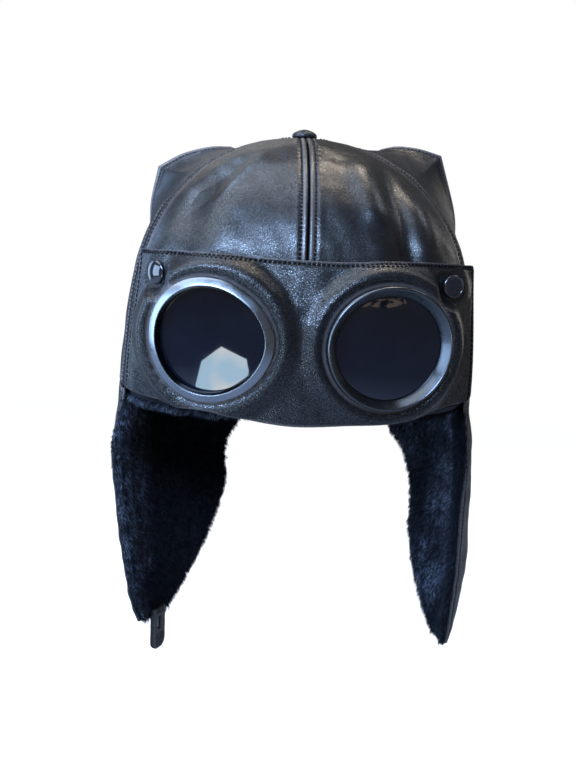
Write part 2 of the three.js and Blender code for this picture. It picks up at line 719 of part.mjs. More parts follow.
// Fur round the rim, inside the crown and a little below it
function addRimFur() {
  const wall = crownWall().inner;
  const bottomRow = wall[0];
  const nextRow = wall[1];
  const levels = tableOf(RIM_FUR_COLUMNS, RIM_FUR_ROWS);
  const middle = new THREE.Vector3(0, 5, 0);
  const sections = bottomRow.map((low, j) => {
    const tuft = 1 + 0.1 * Math.sin(j * 2.6);
    const at = (z, depth) => {
      const t = (Math.max(z, RIM_Z) - low.z) / (nextRow[j].z - low.z);
      const point = low.clone().lerp(nextRow[j], t).setZ(z);
      const inward = middle.clone().setZ(z).sub(point).normalize();
      return point.addScaledVector(inward, depth);
    };
    const outside = levels.map(({ z, clear }) => at(z, clear));
    const under = at(RIM_FUR_BOTTOM, levels[levels.length - 1].clear + 2);
    const inside = levels.map(({ z, depth }) => at(z, depth * tuft)).reverse();
    return [...outside, under, ...inside];
  });
  addPiece('rim_fur', ringOfSections(sections), LOOKS.fur);
}

// Leather tab at the left flap's tip: a folded strap end with a slot through it
function addTab() {
  const { width, length, thick, round, turn, top, slotWidth, slotTop, slotLow } = TAB;
  const outline = new THREE.Shape();
  outline.moveTo(-width / 2, 0);
  outline.lineTo(-width / 2, -length + round);
  outline.quadraticCurveTo(-width / 2, -length, 0, -length);
  outline.quadraticCurveTo(width / 2, -length, width / 2, -length + round);
  outline.lineTo(width / 2, 0);
  outline.closePath();
  const slot = new THREE.Path();
  slot.moveTo(-slotWidth / 2, -slotTop);
  slot.lineTo(slotWidth / 2, -slotTop);
  slot.lineTo(slotWidth / 2, -slotLow);
  slot.lineTo(-slotWidth / 2, -slotLow);
  slot.closePath();
  outline.holes.push(slot);
  const geometry = new THREE.ExtrudeGeometry(outline, {
    depth: thick, bevelEnabled: false, curveSegments: 6, steps: 1,
  });
  geometry.translate(0, 0, -thick / 2).rotateX(Math.PI / 2).rotateZ(radians(turn)).translate(...top);
  addPiece('strap_tab', turnedOut(indexed(geometry)), LOOKS.leather);
}

addCrown();
addButton();
addGogglePanel();
addGoggles();
addSnaps();
addFlaps();
addRimFur();
addTab();

export default hat;
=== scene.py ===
# Aviator hat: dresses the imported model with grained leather, plush, stitching, goggle rims and lenses.
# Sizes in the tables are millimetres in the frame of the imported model; meshes are written in metres.
import math

import bpy
import numpy as np
from mathutils import Matrix, Vector


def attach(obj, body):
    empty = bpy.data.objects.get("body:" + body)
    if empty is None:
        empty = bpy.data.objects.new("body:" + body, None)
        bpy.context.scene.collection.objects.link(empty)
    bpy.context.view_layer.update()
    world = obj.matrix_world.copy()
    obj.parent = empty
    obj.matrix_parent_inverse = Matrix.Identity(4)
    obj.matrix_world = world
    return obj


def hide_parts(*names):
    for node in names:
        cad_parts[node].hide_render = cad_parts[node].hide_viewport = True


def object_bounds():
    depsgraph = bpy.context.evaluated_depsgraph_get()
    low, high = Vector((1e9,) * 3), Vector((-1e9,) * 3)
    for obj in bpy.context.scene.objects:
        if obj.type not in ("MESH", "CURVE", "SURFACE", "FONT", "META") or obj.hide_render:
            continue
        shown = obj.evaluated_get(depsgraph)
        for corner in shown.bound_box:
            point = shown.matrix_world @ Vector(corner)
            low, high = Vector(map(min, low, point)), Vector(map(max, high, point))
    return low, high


bl_info = {
    "name": "Aviator Hat",
    "version": (1, 0, 0),
    "blender": (4, 5, 0),
    "location": "3D View > Sidebar > Hat",
    "description": "Leather, plush, stitching, goggles and a plain studio for the aviator hat",
    "category": "Add Mesh",
}

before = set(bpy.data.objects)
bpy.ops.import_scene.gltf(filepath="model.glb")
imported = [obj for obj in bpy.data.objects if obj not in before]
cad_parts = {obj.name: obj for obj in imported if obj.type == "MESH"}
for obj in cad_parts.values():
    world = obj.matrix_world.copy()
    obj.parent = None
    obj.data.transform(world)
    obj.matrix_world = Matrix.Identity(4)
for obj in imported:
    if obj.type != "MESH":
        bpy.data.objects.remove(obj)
CAD_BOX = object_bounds()
MM = 0.001

# Sizes shared with the solids
LEATHER = 2.0
CLEAR = 0.3
RIM_Z = -148.0
BUTTON_RADIUS, BUTTON_HEIGHT = 7.7, 5.4
RING_RADIUS, RING_NECK, LENS_RADIUS = 33.0, 31.1, 28.2
SNAP_RADIUS, SNAP_NECK = 6.35, 2.1
RIM_FUR_BOTTOM = -153.0
FLAP_FUR_TOP = -155.1
FLAP_BLEND = 42.0
FLAP_REAR = {"left": 28.0, "right": 66.0}
PANEL_MID_Z = -108.0
PANEL_CORNER = 4.0
TAB = {"width": 15.0, "length": 30.0, "thick": 3.6, "turn": 62.0, "top": (-85.0, 20.0, -313.5),
       "slot": (1.5, 7.0, 15.0)}


def table(columns, rows):
    """Named columns of a table as arrays."""
    return {name: np.array([row[k] for row in rows], float) for k, name in enumerate(columns.split())}


CROWN = table("level front seamX seamY square back edgeY leftX leftZ rightX rightZ pinch", [
    (-148, 99, 101, -50, 2.6, 110, 8, 109, -148, 112, -148, 0),
    (-120, 102, 98.5, -54, 2.7, 115, 10, 106, -120, 109.5, -120, 0),
    (-92, 103, 95, -58, 2.8, 116, 12, 101.5, -92, 105, -92, 0),
    (-69, 101, 90, -60, 2.8, 113, 14, 96, -69, 100.5, -69, 1),
    (-52, 96, 84, -55, 2.7, 107, 15, 95, -54, 100.5, -54, 4),
    (-36, 87, 75, -45, 2.5, 97, 15, 95, -38, 99, -36, 10),
    (-21, 72, 62, -33, 2.35, 81, 15, 91, -17, 88.5, -2, 15),
    (-12, 58.5, 49, -25, 2.25, 66, 15, 76, -8.5, 74, 1.5, 12),
    (-5.8, 46, 37.5, -19, 2.15, 52, 15, 59, -3.6, 60, 2.3, 9),
    (-2.2, 35, 28, -14, 2.1, 39, 15, 46, -3, 50, 0, 5),
    (-0.6, 27, 21.5, -11, 2.05, 30, 13.5, 40, -6, 45, -7, 0),
    (1.3, 15, 12, -6, 2, 17, 8, 20, 0, 20, 0, 0),
    (2.2, 5.5, 4.6, -2.6, 2, 5.5, 2, 5, 2.2, 5, 2.2, 0),
])
EDGE_BREAKS = (6, 9, 10)  # Rows at which the seam between side and back turns sharply
FULL_PINCH = 15  # The seam is drawn to its sharpest ridge at this pinch
FRONT_TURN = 1.25  # How far the front panel's columns crowd towards its side seam, in radians
ROWS_BETWEEN = (14, 14, 12, 9, 9, 10, 12, 10, 7, 6, 8, 6)
HOLLOW_CENTRE = np.array([0.0, 15.0, -60.0])
FOLDS = table("topX topZ bottomX bottomZ width sink", [
    (-55, -26, -67, -66, 8, 2.0),
    (-38, -22, -48, -60, 10, -1.2),
    (43, -14, 55, -68, 6, 3.0),
    (31, -12, 36, -40, 7, -1.6),
    (60, -30, 70, -66, 7, -1.8),
])
# Shallow folds that only the look has: a line across the front panels and how far it rises
SOFT_FOLDS = table("topX topZ bottomX bottomZ width rise", [
    (-22, -10, -48, -37, 4.0, 0.9),
    (-31, -13, -68, -46, 5.5, -1.4),
    (-12, -34, -52, -58, 9.0, -0.8),
    (24, -12, 33, -42, 4.5, 0.7),
    (16, -10, 20, -34, 4.0, -0.45),
    (36, -44, 62, -60, 6.0, 0.6),
    (48, -14, 74, -48, 4.5, -0.6),
])
PANEL = table("topX lowX topY midY lowY topZ lowZ", [
    (-90.5, -97.5, -67, -71, -66, -66.5, -145),
    (-84, -91, -75.5, -82, -76.5, -66.6, -146),
    (-74, -80, -86, -92.5, -86, -66.4, -147),
    (-56, -66, -97, -103, -97, -66.4, -147.5),
    (-38, -48, -101.5, -107, -103, -67.2, -148.5),
    (-20, -32, -103.4, -113.5, -108, -67.8, -152),
    (0, -6, -103.9, -115.5, -110.5, -68.2, -155),
    (20, 20, -103.4, -114, -110, -68.3, -154),
    (40, 45, -101.6, -107, -105.5, -67.2, -152),
    (58, 60, -97.5, -103, -100.5, -66.8, -149.5),
    (74, 74, -89, -95, -91, -67.2, -147),
    (86.5, 86.5, -79, -84.5, -81, -67.8, -145),
    (94, 97.5, -71, -75, -73, -68, -143.5),
])
RING = table("angle left right", [
    (0, 33.3, 34.3), (30, 31.9, 35), (60, 30.9, 34.1), (90, 32.2, 32.9), (120, 34.2, 32.9),
    (150, 34.6, 33.6), (180, 33.4, 33.9), (210, 32.7, 33), (240, 32.8, 32.2), (270, 32.2, 32.2),
    (300, 31.6, 32.3), (330, 32.2, 33),
])
GOGGLES = {
    "left": {"centre": (-47.8, -109.6, -111.2), "turn": -11.0, "flat": 38.0, "fade": 47.0},
    "right": {"centre": (43.7, -109.6, -112.1), "turn": 10.0, "flat": 38.0, "fade": 47.0},
}
SNAPS = {
    "left": {"centre": (-79.5, -84.5, -78.8), "turn": -43.0, "flat": 8.0, "fade": 14.0},
    "right": {"centre": (79.5, -86.5, -79.4), "turn": 20.0, "flat": 8.0, "fade": 14.0},
}
FLAP_COLUMNS = "z frontX frontY pullX pullY rearX rearY"
FLAPS = {
    "left": table(FLAP_COLUMNS, [
        (-190, -110.2, -32, -120.5, 45, -36, 90),
        (-203, -110, -31, -119.5, 38, -45, 86),
        (-220, -108.6, -28, -116, 30, -47.5, 80),
        (-236, -107.6, -25, -113.5, 25, -46, 74),
        (-262, -104.9, -20, -109.5, 20, -54, 63),
        (-290, -101.5, -13, -106.5, 20, -66, 53),
        (-306, -98.5, -7, -107, 20, -75, 44),
        (-316, -95.8, 0, -104.5, 20, -82.3, 37),
    ]),
    "right": table(FLAP_COLUMNS, [
        (-190, 109, -32, 138, 30, 77, 76),
        (-203, 109, -31, 139, 26, 88, 72),
        (-216, 109, -29, 140, 22, 92, 68),
        (-230, 109, -28, 140, 20, 95, 64),
        (-262, 110, -24, 141, 20, 95, 60),
        (-286, 111, -15, 140, 22, 98, 56),
        (-310, 112.5, -4, 132, 22, 104, 47),
        (-331, 115, 12, 122, 24, 112, 34),
    ]),
}
SIDES = ("left", "right")


# Settings that a user would change
def length_setting(name, description, default, low, high):
    """A length whose default and limits are given in millimetres."""
    return bpy.props.FloatProperty(name=name, description=description, default=default * MM, min=low * MM,
                                   max=high * MM, subtype="DISTANCE", unit="LENGTH")


def colour_setting(name, description, default):
    return bpy.props.FloatVectorProperty(name=name, description=description, default=default, size=3, min=0, max=1,
                                         subtype="COLOR")


class HatSizes(bpy.types.PropertyGroup):
    """Sizes of the visible detail."""
    stitch_pitch: length_setting("Stitch pitch", "Distance from one stitch to the next", 2.4, 1.5, 6)
    stitch_inset: length_setting("Stitch inset", "Distance of a topstitch line from its leather's edge", 2.4, 1, 6)
    seam_inset: length_setting("Seam inset", "Distance of a topstitch line from the crown seam beside it", 3.8, 1, 6)
    pile_length: length_setting("Pile length", "Length of the plush hairs", 9.5, 3, 20)
    grain_size: length_setting("Grain size", "Width of one cell of the leather grain", 1.0, 0.3, 4)
    hairs_per_flap: bpy.props.IntProperty(name="Hairs per flap", description="Number of hair tufts on each ear flap",
                                          default=58000, min=1000, max=64000)


class HatColours(bpy.types.PropertyGroup):
    """Base colours of the materials."""
    leather: colour_setting("Leather", "Grained leather of the crown's front and the goggle panel",
                            (0.0050, 0.0052, 0.0068))
    smooth_leather: colour_setting("Smooth leather", "Smoother leather of the crown's sides, back and flaps",
                                   (0.0068, 0.0074, 0.0100))
    plush: colour_setting("Plush", "Hair of the flaps and the rim", (0.009, 0.011, 0.017))
    rim_metal: colour_setting("Goggle rim", "Glossy gunmetal of the goggle rims", (0.30, 0.33, 0.37))
    lens: colour_setting("Lens", "Tint of the lenses", (0.0020, 0.0034, 0.0085))


# Small maths on arrays of points
def unit(v):
    """Vectors brought to length 1."""
    return v / np.maximum(np.linalg.norm(v, axis=-1, keepdims=True), 1e-9)


def lerp(a, b, t):
    return a + (b - a) * t


def smooth(t):
    t = np.clip(t, 0, 1)
    return t * t * (3 - 2 * t)


def hump(x, middle, width):
    """A bell that is 1 at its middle."""
    return np.exp(-((x - middle) / width) ** 2)


def vec(*parts):
    return np.stack(np.broadcast_arrays(*parts), -1).astype(float)


def along(values, s, breaks=()):
    """Values of a table column at fractional rows, on a smooth curve that turns sharply only at the breaks."""
    last = len(values) - 1
    i = np.clip(np.floor(s).astype(int), 0, last - 1)
    t = s - i
    b, c = values[i], values[i + 1]
    a = np.where((i == 0) | np.isin(i, breaks), 2 * b - c, values[np.maximum(i - 1, 0)])
    d = np.where((i + 1 == last) | np.isin(i + 1, breaks), 2 * c - b, values[np.minimum(i + 2, last)])
    return ((2 * t**3 - 3 * t**2 + 1) * b + (t**3 - 2 * t**2 + t) * (c - a) / 2
            + (-2 * t**3 + 3 * t**2) * c + (t**3 - t**2) * (d - b) / 2)


def bezier(points, t):
    t = t[..., None]
    u = 1 - t
    weights = (u * u, 2 * u * t, t * t) if len(points) == 3 else (u**3, 3 * u * u * t, 3 * u * t * t, t**3)
    return sum(p * w for p, w in zip(points, weights))


def ripple(points, wavelength, seed, waves=9):
    """Smooth repeatable unevenness of points, from -1 to 1."""
    rng = np.random.default_rng(seed)
    pull = unit(rng.normal(size=(waves, 3))) * (2 * math.pi / wavelength * rng.uniform(0.6, 1.5, (waves, 1)))
    return np.sin(points @ pull.T + rng.uniform(0, 6.28, waves)).mean(-1) * 1.7


def run_along(points, axis=0):
    """Distances along lines of points, from the start of each."""
    steps = np.linalg.norm(np.diff(points, axis=axis), axis=-1)
    return np.concatenate([np.zeros_like(steps.take([0], axis)), np.cumsum(steps, axis)], axis)


def turned(vector, degrees):
    """Vectors turned about the vertical."""
    a = math.radians(degrees)
    x, y, z = vector[..., 0], vector[..., 1], vector[..., 2]
    return vec(x * math.cos(a) - y * math.sin(a), x * math.sin(a) + y * math.cos(a), z)


# Surfaces of the leather
def front_section(front, square, seam, x):
    """Depth of the crown's front at some x, on a rounded square through the seam, and how steeply it runs there."""
    reach = np.abs(seam[..., 0]) / (1 - (np.abs(seam[..., 1]) / front) ** square) ** (1 / square)
    rest = np.maximum(1e-6, 1 - (np.abs(x) / reach) ** square)
    slope = (front / reach) * (np.abs(x) / reach) ** (square - 1) * rest ** (1 / square - 1)
    return -front * rest ** (1 / square), slope


def rows_of(columns):
    """The rows of a table, each as its values by name."""
    return [dict(zip(columns, row)) for row in zip(*columns.values())]


def fold_depth(x, z):
    """How far the front panels' folds sink at a spot, as on the solids."""
    depth = 0
    for f in rows_of(FOLDS):
        down = (f["topZ"] - z) / (f["topZ"] - f["bottomZ"])
        middle = lerp(f["topX"], f["bottomX"], down)
        fade = smooth(down * 2.5 + 0.35) * smooth((1.45 - down) * 2.5)
        depth = depth + f["sink"] * hump(x, middle, f["width"]) * fade
    return depth


def soft_folds(x, z):
    """Rise of the shallow folds, by the distance from each one's line."""
    rise = 0
    for f in rows_of(SOFT_FOLDS):
        dx, dz = f["bottomX"] - f["topX"], f["bottomZ"] - f["topZ"]
        length = math.hypot(dx, dz)
        down = ((x - f["topX"]) * dx + (z - f["topZ"]) * dz) / length**2
        aside = ((x - f["topX"]) * dz - (z - f["topZ"]) * dx) / length
        rise = rise + f["rise"] * hump(aside, 0, f["width"]) * smooth(down * 3 + 0.4) * smooth((1.3 - down) * 3)
    return rise


def crown_point(side, panel, s, v):
    """Points of a crown panel at fractional rows of its table, from its front edge (v = 0) to its rear one."""
    sign = -1.0 if side == "left" else 1.0

    def col(name, breaks=()):
        return along(CROWN[name], s, breaks)

    level, front, square = col("level"), col("front"), col("square")
    seam = vec(sign * col("seamX"), col("seamY"), level)
    edge = vec(sign * col(side + "X", EDGE_BREAKS), col("edgeY", EDGE_BREAKS), col(side + "Z", EDGE_BREAKS))
    pinch = np.maximum(0, col("pinch", EDGE_BREAKS))
    held = np.clip(pinch / FULL_PINCH, 0, 1)
    drawn_in = edge + unit(HOLLOW_CENTRE - edge) * pinch[..., None]
    if panel == "front":
        x = seam[..., 0] * np.sin(v * FRONT_TURN) / math.sin(FRONT_TURN)
        y, _ = front_section(front, square, seam, x)
        return vec(x, y + fold_depth(x, level), level)
    if panel == "side":
        _, slope = front_section(front, square, seam, seam[..., 0])
        length = np.linalg.norm(seam - edge, axis=-1)
        near = seam + unit(vec(sign, slope, 0)) * (0.27 * length)[..., None]
        near[..., 2] = lerp(seam[..., 2], edge[..., 2], 0.12)
        reach = lerp(0.4 * (edge[..., 1] - seam[..., 1]), 13, held)
        return bezier([seam, near, drawn_in - vec(0, reach, 0), edge], v)
    back = vec(0, col("back"), level)
    reach = lerp(0.55 * (back[..., 1] - edge[..., 1]), 14, held)
    far = vec(0.55 * lerp(edge[..., 0], sign * front, 0.45), back[..., 1], back[..., 2])
    return bezier([edge, drawn_in + vec(0, reach, 0), far, back], v)


def seat_axes(seat):
    """Centre of a goggle's or snap's seat, the way it looks, and the way across it."""
    a = math.radians(seat["turn"])
    origin = np.array(seat["centre"])
    out = np.array([math.sin(a), -math.cos(a), 0.0])
    across = np.array([math.cos(a), math.sin(a), 0.0])
    return origin, out, across


def seat_spot(points, seat):
    """Distance of points from a seat's centre, and their angle, seen along its axis."""
    origin, _, across = seat_axes(seat)
    a = (points[..., 0] - origin[0]) / across[0]
    b = points[..., 2] - origin[2]
    return np.hypot(a, b), np.arctan2(b, a)


def ring_stretch(side, angle):
    """How far a goggle ring reaches at an angle, over its round radius."""
    values = RING[side]
    closed = np.concatenate([values[-1:], values, values[:2]])
    return along(closed, 1 + (angle / (2 * math.pi)) % 1 * len(values)) / RING_RADIUS


def panel_point(w, u):
    """Points of the goggle panel, from its top edge (w = 0) down and from the photo's left (u = 0) to its right."""
    s = u * (len(PANEL["topX"]) - 1)

    def col(name):
        return along(PANEL[name], s)

    top, bottom = col("topZ"), col("lowZ")
    z = lerp(top, bottom, w)
    middle = (top - PANEL_MID_Z) / (top - bottom)
    upper = lerp(col("topY"), col("midY"), np.sin(np.minimum(w / middle, 1) * math.pi / 2))
    below = np.clip((w - middle) / (1 - middle), 0, 1)
    lower = lerp(col("midY"), col("lowY"), 1 - np.cos(below * math.pi / 2))
    point = vec(lerp(col("topX"), col("lowX"), smooth(w)), np.where(w < middle, upper, lower), z)
    for seat in (*GOGGLES.values(), *SNAPS.values()):
        origin, out, _ = seat_axes(seat)
        plane = origin[1] - (point[..., 0] - origin[0]) * out[0] / out[1]
        distance = seat_spot(point, seat)[0]
        pull = 1 - smooth((distance - seat["flat"]) / (seat["fade"] - seat["flat"]))
        point[..., 1] = lerp(point[..., 1], plane, pull)
    return point


RIM_STEPS = 41


def rim_line(side):
    """The crown's lower edge from the front seam to the back, its run, and the run at which the flap ends."""
    across = np.linspace(0, 1, RIM_STEPS)
    parts = [crown_point(side, panel, 0 * across, across) for panel in ("side", "back")]
    line = np.concatenate([parts[0], parts[1][1:]])
    run = run_along(line)
    rear = (line[:, 1] > 40) & (np.abs(line[:, 0]) < FLAP_REAR[side])
    return line, run, run[rear][0]


RIMS = {side: rim_line(side) for side in SIDES}


def flap_point(side, z, p):
    """Points of an ear flap at levels z, from its front edge (p = 0) to its rear one, blended into the rim above."""
    flap = FLAPS[side]
    s = np.interp(-z, -flap["z"], np.arange(len(flap["z"])))
    ends = [vec(along(flap[k + "X"], s), along(flap[k + "Y"], s), z) for k in ("front", "pull", "rear")]
    line, run, span = RIMS[side]
    on_rim = vec(*(np.interp(p * span, run, line[:, k]) for k in (0, 1)), z)
    return lerp(on_rim, bezier(ends, p), smooth((RIM_Z - CLEAR - z) / FLAP_BLEND)[..., None])


# Grids of points, and what is made of them
NEAR_EDGE = np.array([0, 0.3, 0.7, 1.2, 1.8, 2.4, 3.0, 3.8, 5.0, 6.5])
SHORT_ROW = 26  # Shorter rows have the stations near their ends squeezed together
FINE_STEPS = 181


def stations(total, step):
    """Distances along rows of these lengths, close together near both ends."""
    total = np.asarray(total, float)
    squeeze = np.minimum(1, total / SHORT_ROW)[:, None]
    near = NEAR_EDGE[None] * squeeze
    count = max(3, int(round((total.max() - 2 * NEAR_EDGE[-1]) / step)))
    t = np.linspace(0, 1, count + 1)[1:-1][None]
    middle = lerp(near[:, -1:], total[:, None] - near[:, -1:], t)
    return np.concatenate([near, middle, total[:, None] - near[:, ::-1]], 1)


def spread(point, rows, step):
    """Points on a surface whose columns lie at set distances from both ends of each row, those and the rows' runs."""
    t = np.linspace(0, 1, FINE_STEPS)
    line = point(*np.meshgrid(rows, t, indexing="ij"))
    run = run_along(line, 1)
    at = stations(run[:, -1], step)
    v = np.stack([np.interp(at[i], run[i], t) for i in range(len(rows))])
    return point(np.broadcast_to(np.asarray(rows)[:, None], v.shape), v), at, run[:, -1:]


def normals_of(grid, outside):
    """Normals of a grid that point the way outside says: a point that they lead away from."""
    n = np.zeros_like(grid)
    face = unit(np.cross(grid[1:, 1:] - grid[:-1, :-1], grid[1:, :-1] - grid[:-1, 1:]))
    for a in (slice(None, -1), slice(1, None)):
        for b in (slice(None, -1), slice(1, None)):
            n[a, b] += face
    n = unit(n)
    middle = grid.shape[0] // 2, grid.shape[1] // 2
    return n if np.dot(n[middle], grid[middle] - np.asarray(outside)) > 0 else -n


def wall(outer, inner, keep=None):
    """Vertices and faces of a closed wall between two grids, and which points of theirs it uses.

    Where keep leaves cells out, the wall has a hole with sides of its own.
    """
    n, m = outer.shape[:2]
    index = np.arange(n * m).reshape(n, m)
    cells = np.stack([index[:-1, :-1], index[:-1, 1:], index[1:, 1:], index[1:, :-1]], -1)
    quads = cells[keep] if keep is not None else cells.reshape(-1, 4)
    edges = np.concatenate([quads[:, [k, (k + 1) % 4]] for k in range(4)])
    key = np.sort(edges, 1) @ np.array([n * m, 1])
    _, first, count = np.unique(key, return_index=True, return_counts=True)
    rim = edges[first[count == 1]]
    sides = np.stack([rim[:, 1], rim[:, 0], rim[:, 0] + n * m, rim[:, 1] + n * m], 1)
    faces = np.concatenate([quads, quads[:, ::-1] + n * m, sides])
    points = np.concatenate([outer.reshape(-1, 3), inner.reshape(-1, 3)])
    a, b, c, d = (points[corner] for corner in faces.T)
    volume = np.einsum("ij,ij->i", a, np.cross(b, c)).sum() + np.einsum("ij,ij->i", a, np.cross(c, d)).sum()
    if volume < 0:
        faces = faces[:, ::-1]
    used, place = np.unique(faces, return_inverse=True)
    return points[used], place.reshape(faces.shape), used


def fattened(grid, normals, distance, thick=LEATHER):
    """Outer and inner face of leather whose edges are rounded, from its distance to the nearest edge."""
    round_off = np.sqrt(1 - (1 - np.clip(distance / (thick / 2), 0, 1)) ** 2)
    give = (thick / 2 * 0.85 * (1 - round_off))[..., None] * normals
    return grid - give, grid - normals * thick + give


def twice(used, **grids):
    """Values on the two faces of a wall, from grids of them."""
    return {key: np.concatenate([grid.ravel(), grid.ravel()])[used] for key, grid in grids.items()}


def added(name, data):
    """A new object of the scene."""
    obj = bpy.data.objects.new(name, data)
    bpy.context.scene.collection.objects.link(obj)
    return obj


def mesh_object(name, shape, look, values=None, node=None):
    """A shown piece of the hat: points in millimetres and faces, riding on the root body in place of a node."""
    points, faces = shape
    faces = [np.asarray(f) for f in (faces if isinstance(faces, list) else [faces])]
    me = bpy.data.meshes.new(name)
    me.vertices.add(len(points))
    me.vertices.foreach_set("co", (np.asarray(points) * MM).astype(np.float32).ravel())
    corners = np.concatenate([f.ravel() for f in faces]).astype(np.int32)
    me.loops.add(len(corners))
    me.loops.foreach_set("vertex_index", corners)
    sizes = np.concatenate([np.full(len(f), f.shape[1]) for f in faces])
    me.polygons.add(len(sizes))
    me.polygons.foreach_set("loop_start", np.concatenate([[0], np.cumsum(sizes)[:-1]]).astype(np.int32))
    me.polygons.foreach_set("use_smooth", np.full(len(sizes), True))
    me.update(calc_edges=True)
    for key, value in (values or {}).items():
        me.attributes.new(key, "FLOAT", "POINT").data.foreach_set("value", np.asarray(value, np.float32).ravel())
    me.materials.append(material(look))
    obj = added(name, me)
    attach(obj, "root")
    if node:
        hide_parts(node)


THREAD_RADIUS = {"crown": 0.45, "crown_side_seam": 0.7, "panel": 0.44, "flap": 0.4}


def tube_stitch(sides=5):
    """One stitch along +X, one long and one wide, arched with its ends sunk."""
    rings = [(-0.5, 0.45, -0.9), (-0.28, 1.0, 0.0), (0.28, 1.0, 0.0), (0.5, 0.45, -0.9)]
    turns = [2 * math.pi * k / sides for k in range(sides)]
    points = [(x, r * math.cos(a), r * math.sin(a) + lift) for x, r, lift in rings for a in turns]
    index = np.arange(len(points)).reshape(len(rings), sides)
    beside = np.roll(index, -1, 1)
    return np.array(points), np.stack([index[:-1], beside[:-1], beside[1:], index[1:]], -1).reshape(-1, 4)


def stitched(line, normals, pitch, thread, fill=0.66):
    """Stitches along a line of points on the leather: points and faces."""
    radius = THREAD_RADIUS[thread]
    run = run_along(line)
    count = max(1, int(run[-1] / pitch))
    at = (np.arange(count) + 0.5) * run[-1] / count

    def value(vectors, shift=0.0):
        return np.stack([np.interp(at + shift, run, vectors[:, k]) for k in range(3)], 1)

    place = value(line)
    ahead = unit(value(line, 0.6) - value(line, -0.6))
    beside = unit(np.cross(unit(value(normals)), ahead))
    up = np.cross(ahead, beside)
    shape, faces = tube_stitch()
    points = (place[:, None] + shape[None, :, :1] * (ahead * pitch * fill)[:, None]
              + shape[None, :, 1:2] * (beside * radius)[:, None]
              + (shape[None, :, 2:] * radius * 0.8 + 0.1) * up[:, None])
    return points.reshape(-1, 3), (faces[None] + (np.arange(count) * len(shape))[:, None, None]).reshape(-1, 4)


def beats(line, at, size, pitch):
    """Stitches counted along a line that lies at some rows of a grid, for each of its rows; a half is mid-stitch."""
    run = run_along(line)
    return np.interp(np.arange(size), at, run / run[-1] * max(1, int(run[-1] / pitch)))


def stitch_sizes(inset_name):
    """Stitch pitch, the line's inset from the edge, and the station of a grid that lies there."""
    sizes = bpy.context.scene.hat_sizes
    inset = getattr(sizes, inset_name) / MM
    return sizes.stitch_pitch / MM, inset, int(np.argmin(np.abs(NEAR_EDGE - inset)))


def stitching(name, parts):
    """One object of all the stitches of a piece."""
    points, faces = zip(*parts)
    starts = np.cumsum([0, *map(len, points[:-1])])
    faces = np.concatenate([f + start for f, start in zip(faces, starts)])
    mesh_object(name, (np.concatenate(points), faces), "thread")


# Materials
def node_output(tree, kind, out, inputs=None, **options):
    """Adds a shader node with some options, values and links, and gives one of its outputs."""
    made = tree.nodes.new(f"ShaderNode{kind}")
    for key, value in options.items():
        setattr(made, key, value)
    for key, value in (inputs or {}).items():
        if isinstance(value, bpy.types.NodeSocket):
            tree.links.new(value, made.inputs[key])
        else:
            made.inputs[key].default_value = value
    return made.outputs[out]


class Shading:
    """Builds one material's nodes."""

    def __init__(self, name, **sockets):
        self.material = bpy.data.materials.new(name)
        self.material.use_nodes = True
        self.tree = self.material.node_tree
        self.shader = self.tree.nodes["Principled BSDF"]
        for key, value in sockets.items():
            self.shader.inputs[key.replace("_", " ")].default_value = value
        self.place = self.node("TexCoord", "Object")

    def node(self, kind, out, inputs=None, **options):
        return node_output(self.tree, kind, out, inputs, **options)

    def noise(self, scale, detail=4.0, rough=0.55, at=None):
        return self.node("TexNoise", "Fac", {"Vector": at or self.place, "Scale": scale, "Detail": detail,
                                             "Roughness": rough})

    def cells(self, scale, at):
        return self.node("TexVoronoi", "Distance", {"Vector": at, "Scale": scale}, feature="DISTANCE_TO_EDGE")

    def math(self, operation, a, b=0.0, c=0.0):
        return self.node("Math", 0, {0: a, 1: b, 2: c}, operation=operation)

    def times(self, a, b):
        return self.math("MULTIPLY", a, b)

    def spread(self, value, low, high, to_low=0.0, to_high=1.0, **options):
        return self.node("MapRange", 0, {"Value": value, "From Min": low, "From Max": high, "To Min": to_low,
                                         "To Max": to_high}, **options)

    def mix(self, factor, a, b):
        a, b = (c if isinstance(c, bpy.types.NodeSocket) else (*c, 1.0) for c in (a, b))
        return self.node("Mix", 2, {0: factor, 6: a, 7: b}, data_type="RGBA")

    def moved(self, operation, inputs):
        return self.node("VectorMath", 0, inputs, operation=operation)

    def shaken(self, scale, amount):
        """Object coordinates pushed about by noise."""
        noise = self.node("TexNoise", "Color", {"Vector": self.place, "Scale": scale, "Detail": 2.0})
        push = self.moved("SCALE", {0: self.moved("SUBTRACT", {0: noise, 1: (0.5, 0.5, 0.5)}), "Scale": amount})
        return self.moved("ADD", {0: self.place, 1: push})

    def attribute(self, name):
        return self.node("Attribute", "Fac", attribute_name=name)

    def bump(self, height, strength, millimetres, before=None):
        inputs = {"Height": height, "Strength": strength, "Distance": millimetres * MM}
        return self.node("Bump", 0, inputs | ({"Normal": before} if before else {}))

    def wire(self, **links):
        for key, value in links.items():
            self.tree.links.new(value, self.shader.inputs[key.replace("_", " ")])
        return self.material


def tinted(colour, factor, tint=(1.0, 1.0, 1.0)):
    """A colour made brighter or darker, and tinted."""
    return tuple(min(1.0, c * factor * t) for c, t in zip(colour, tint))


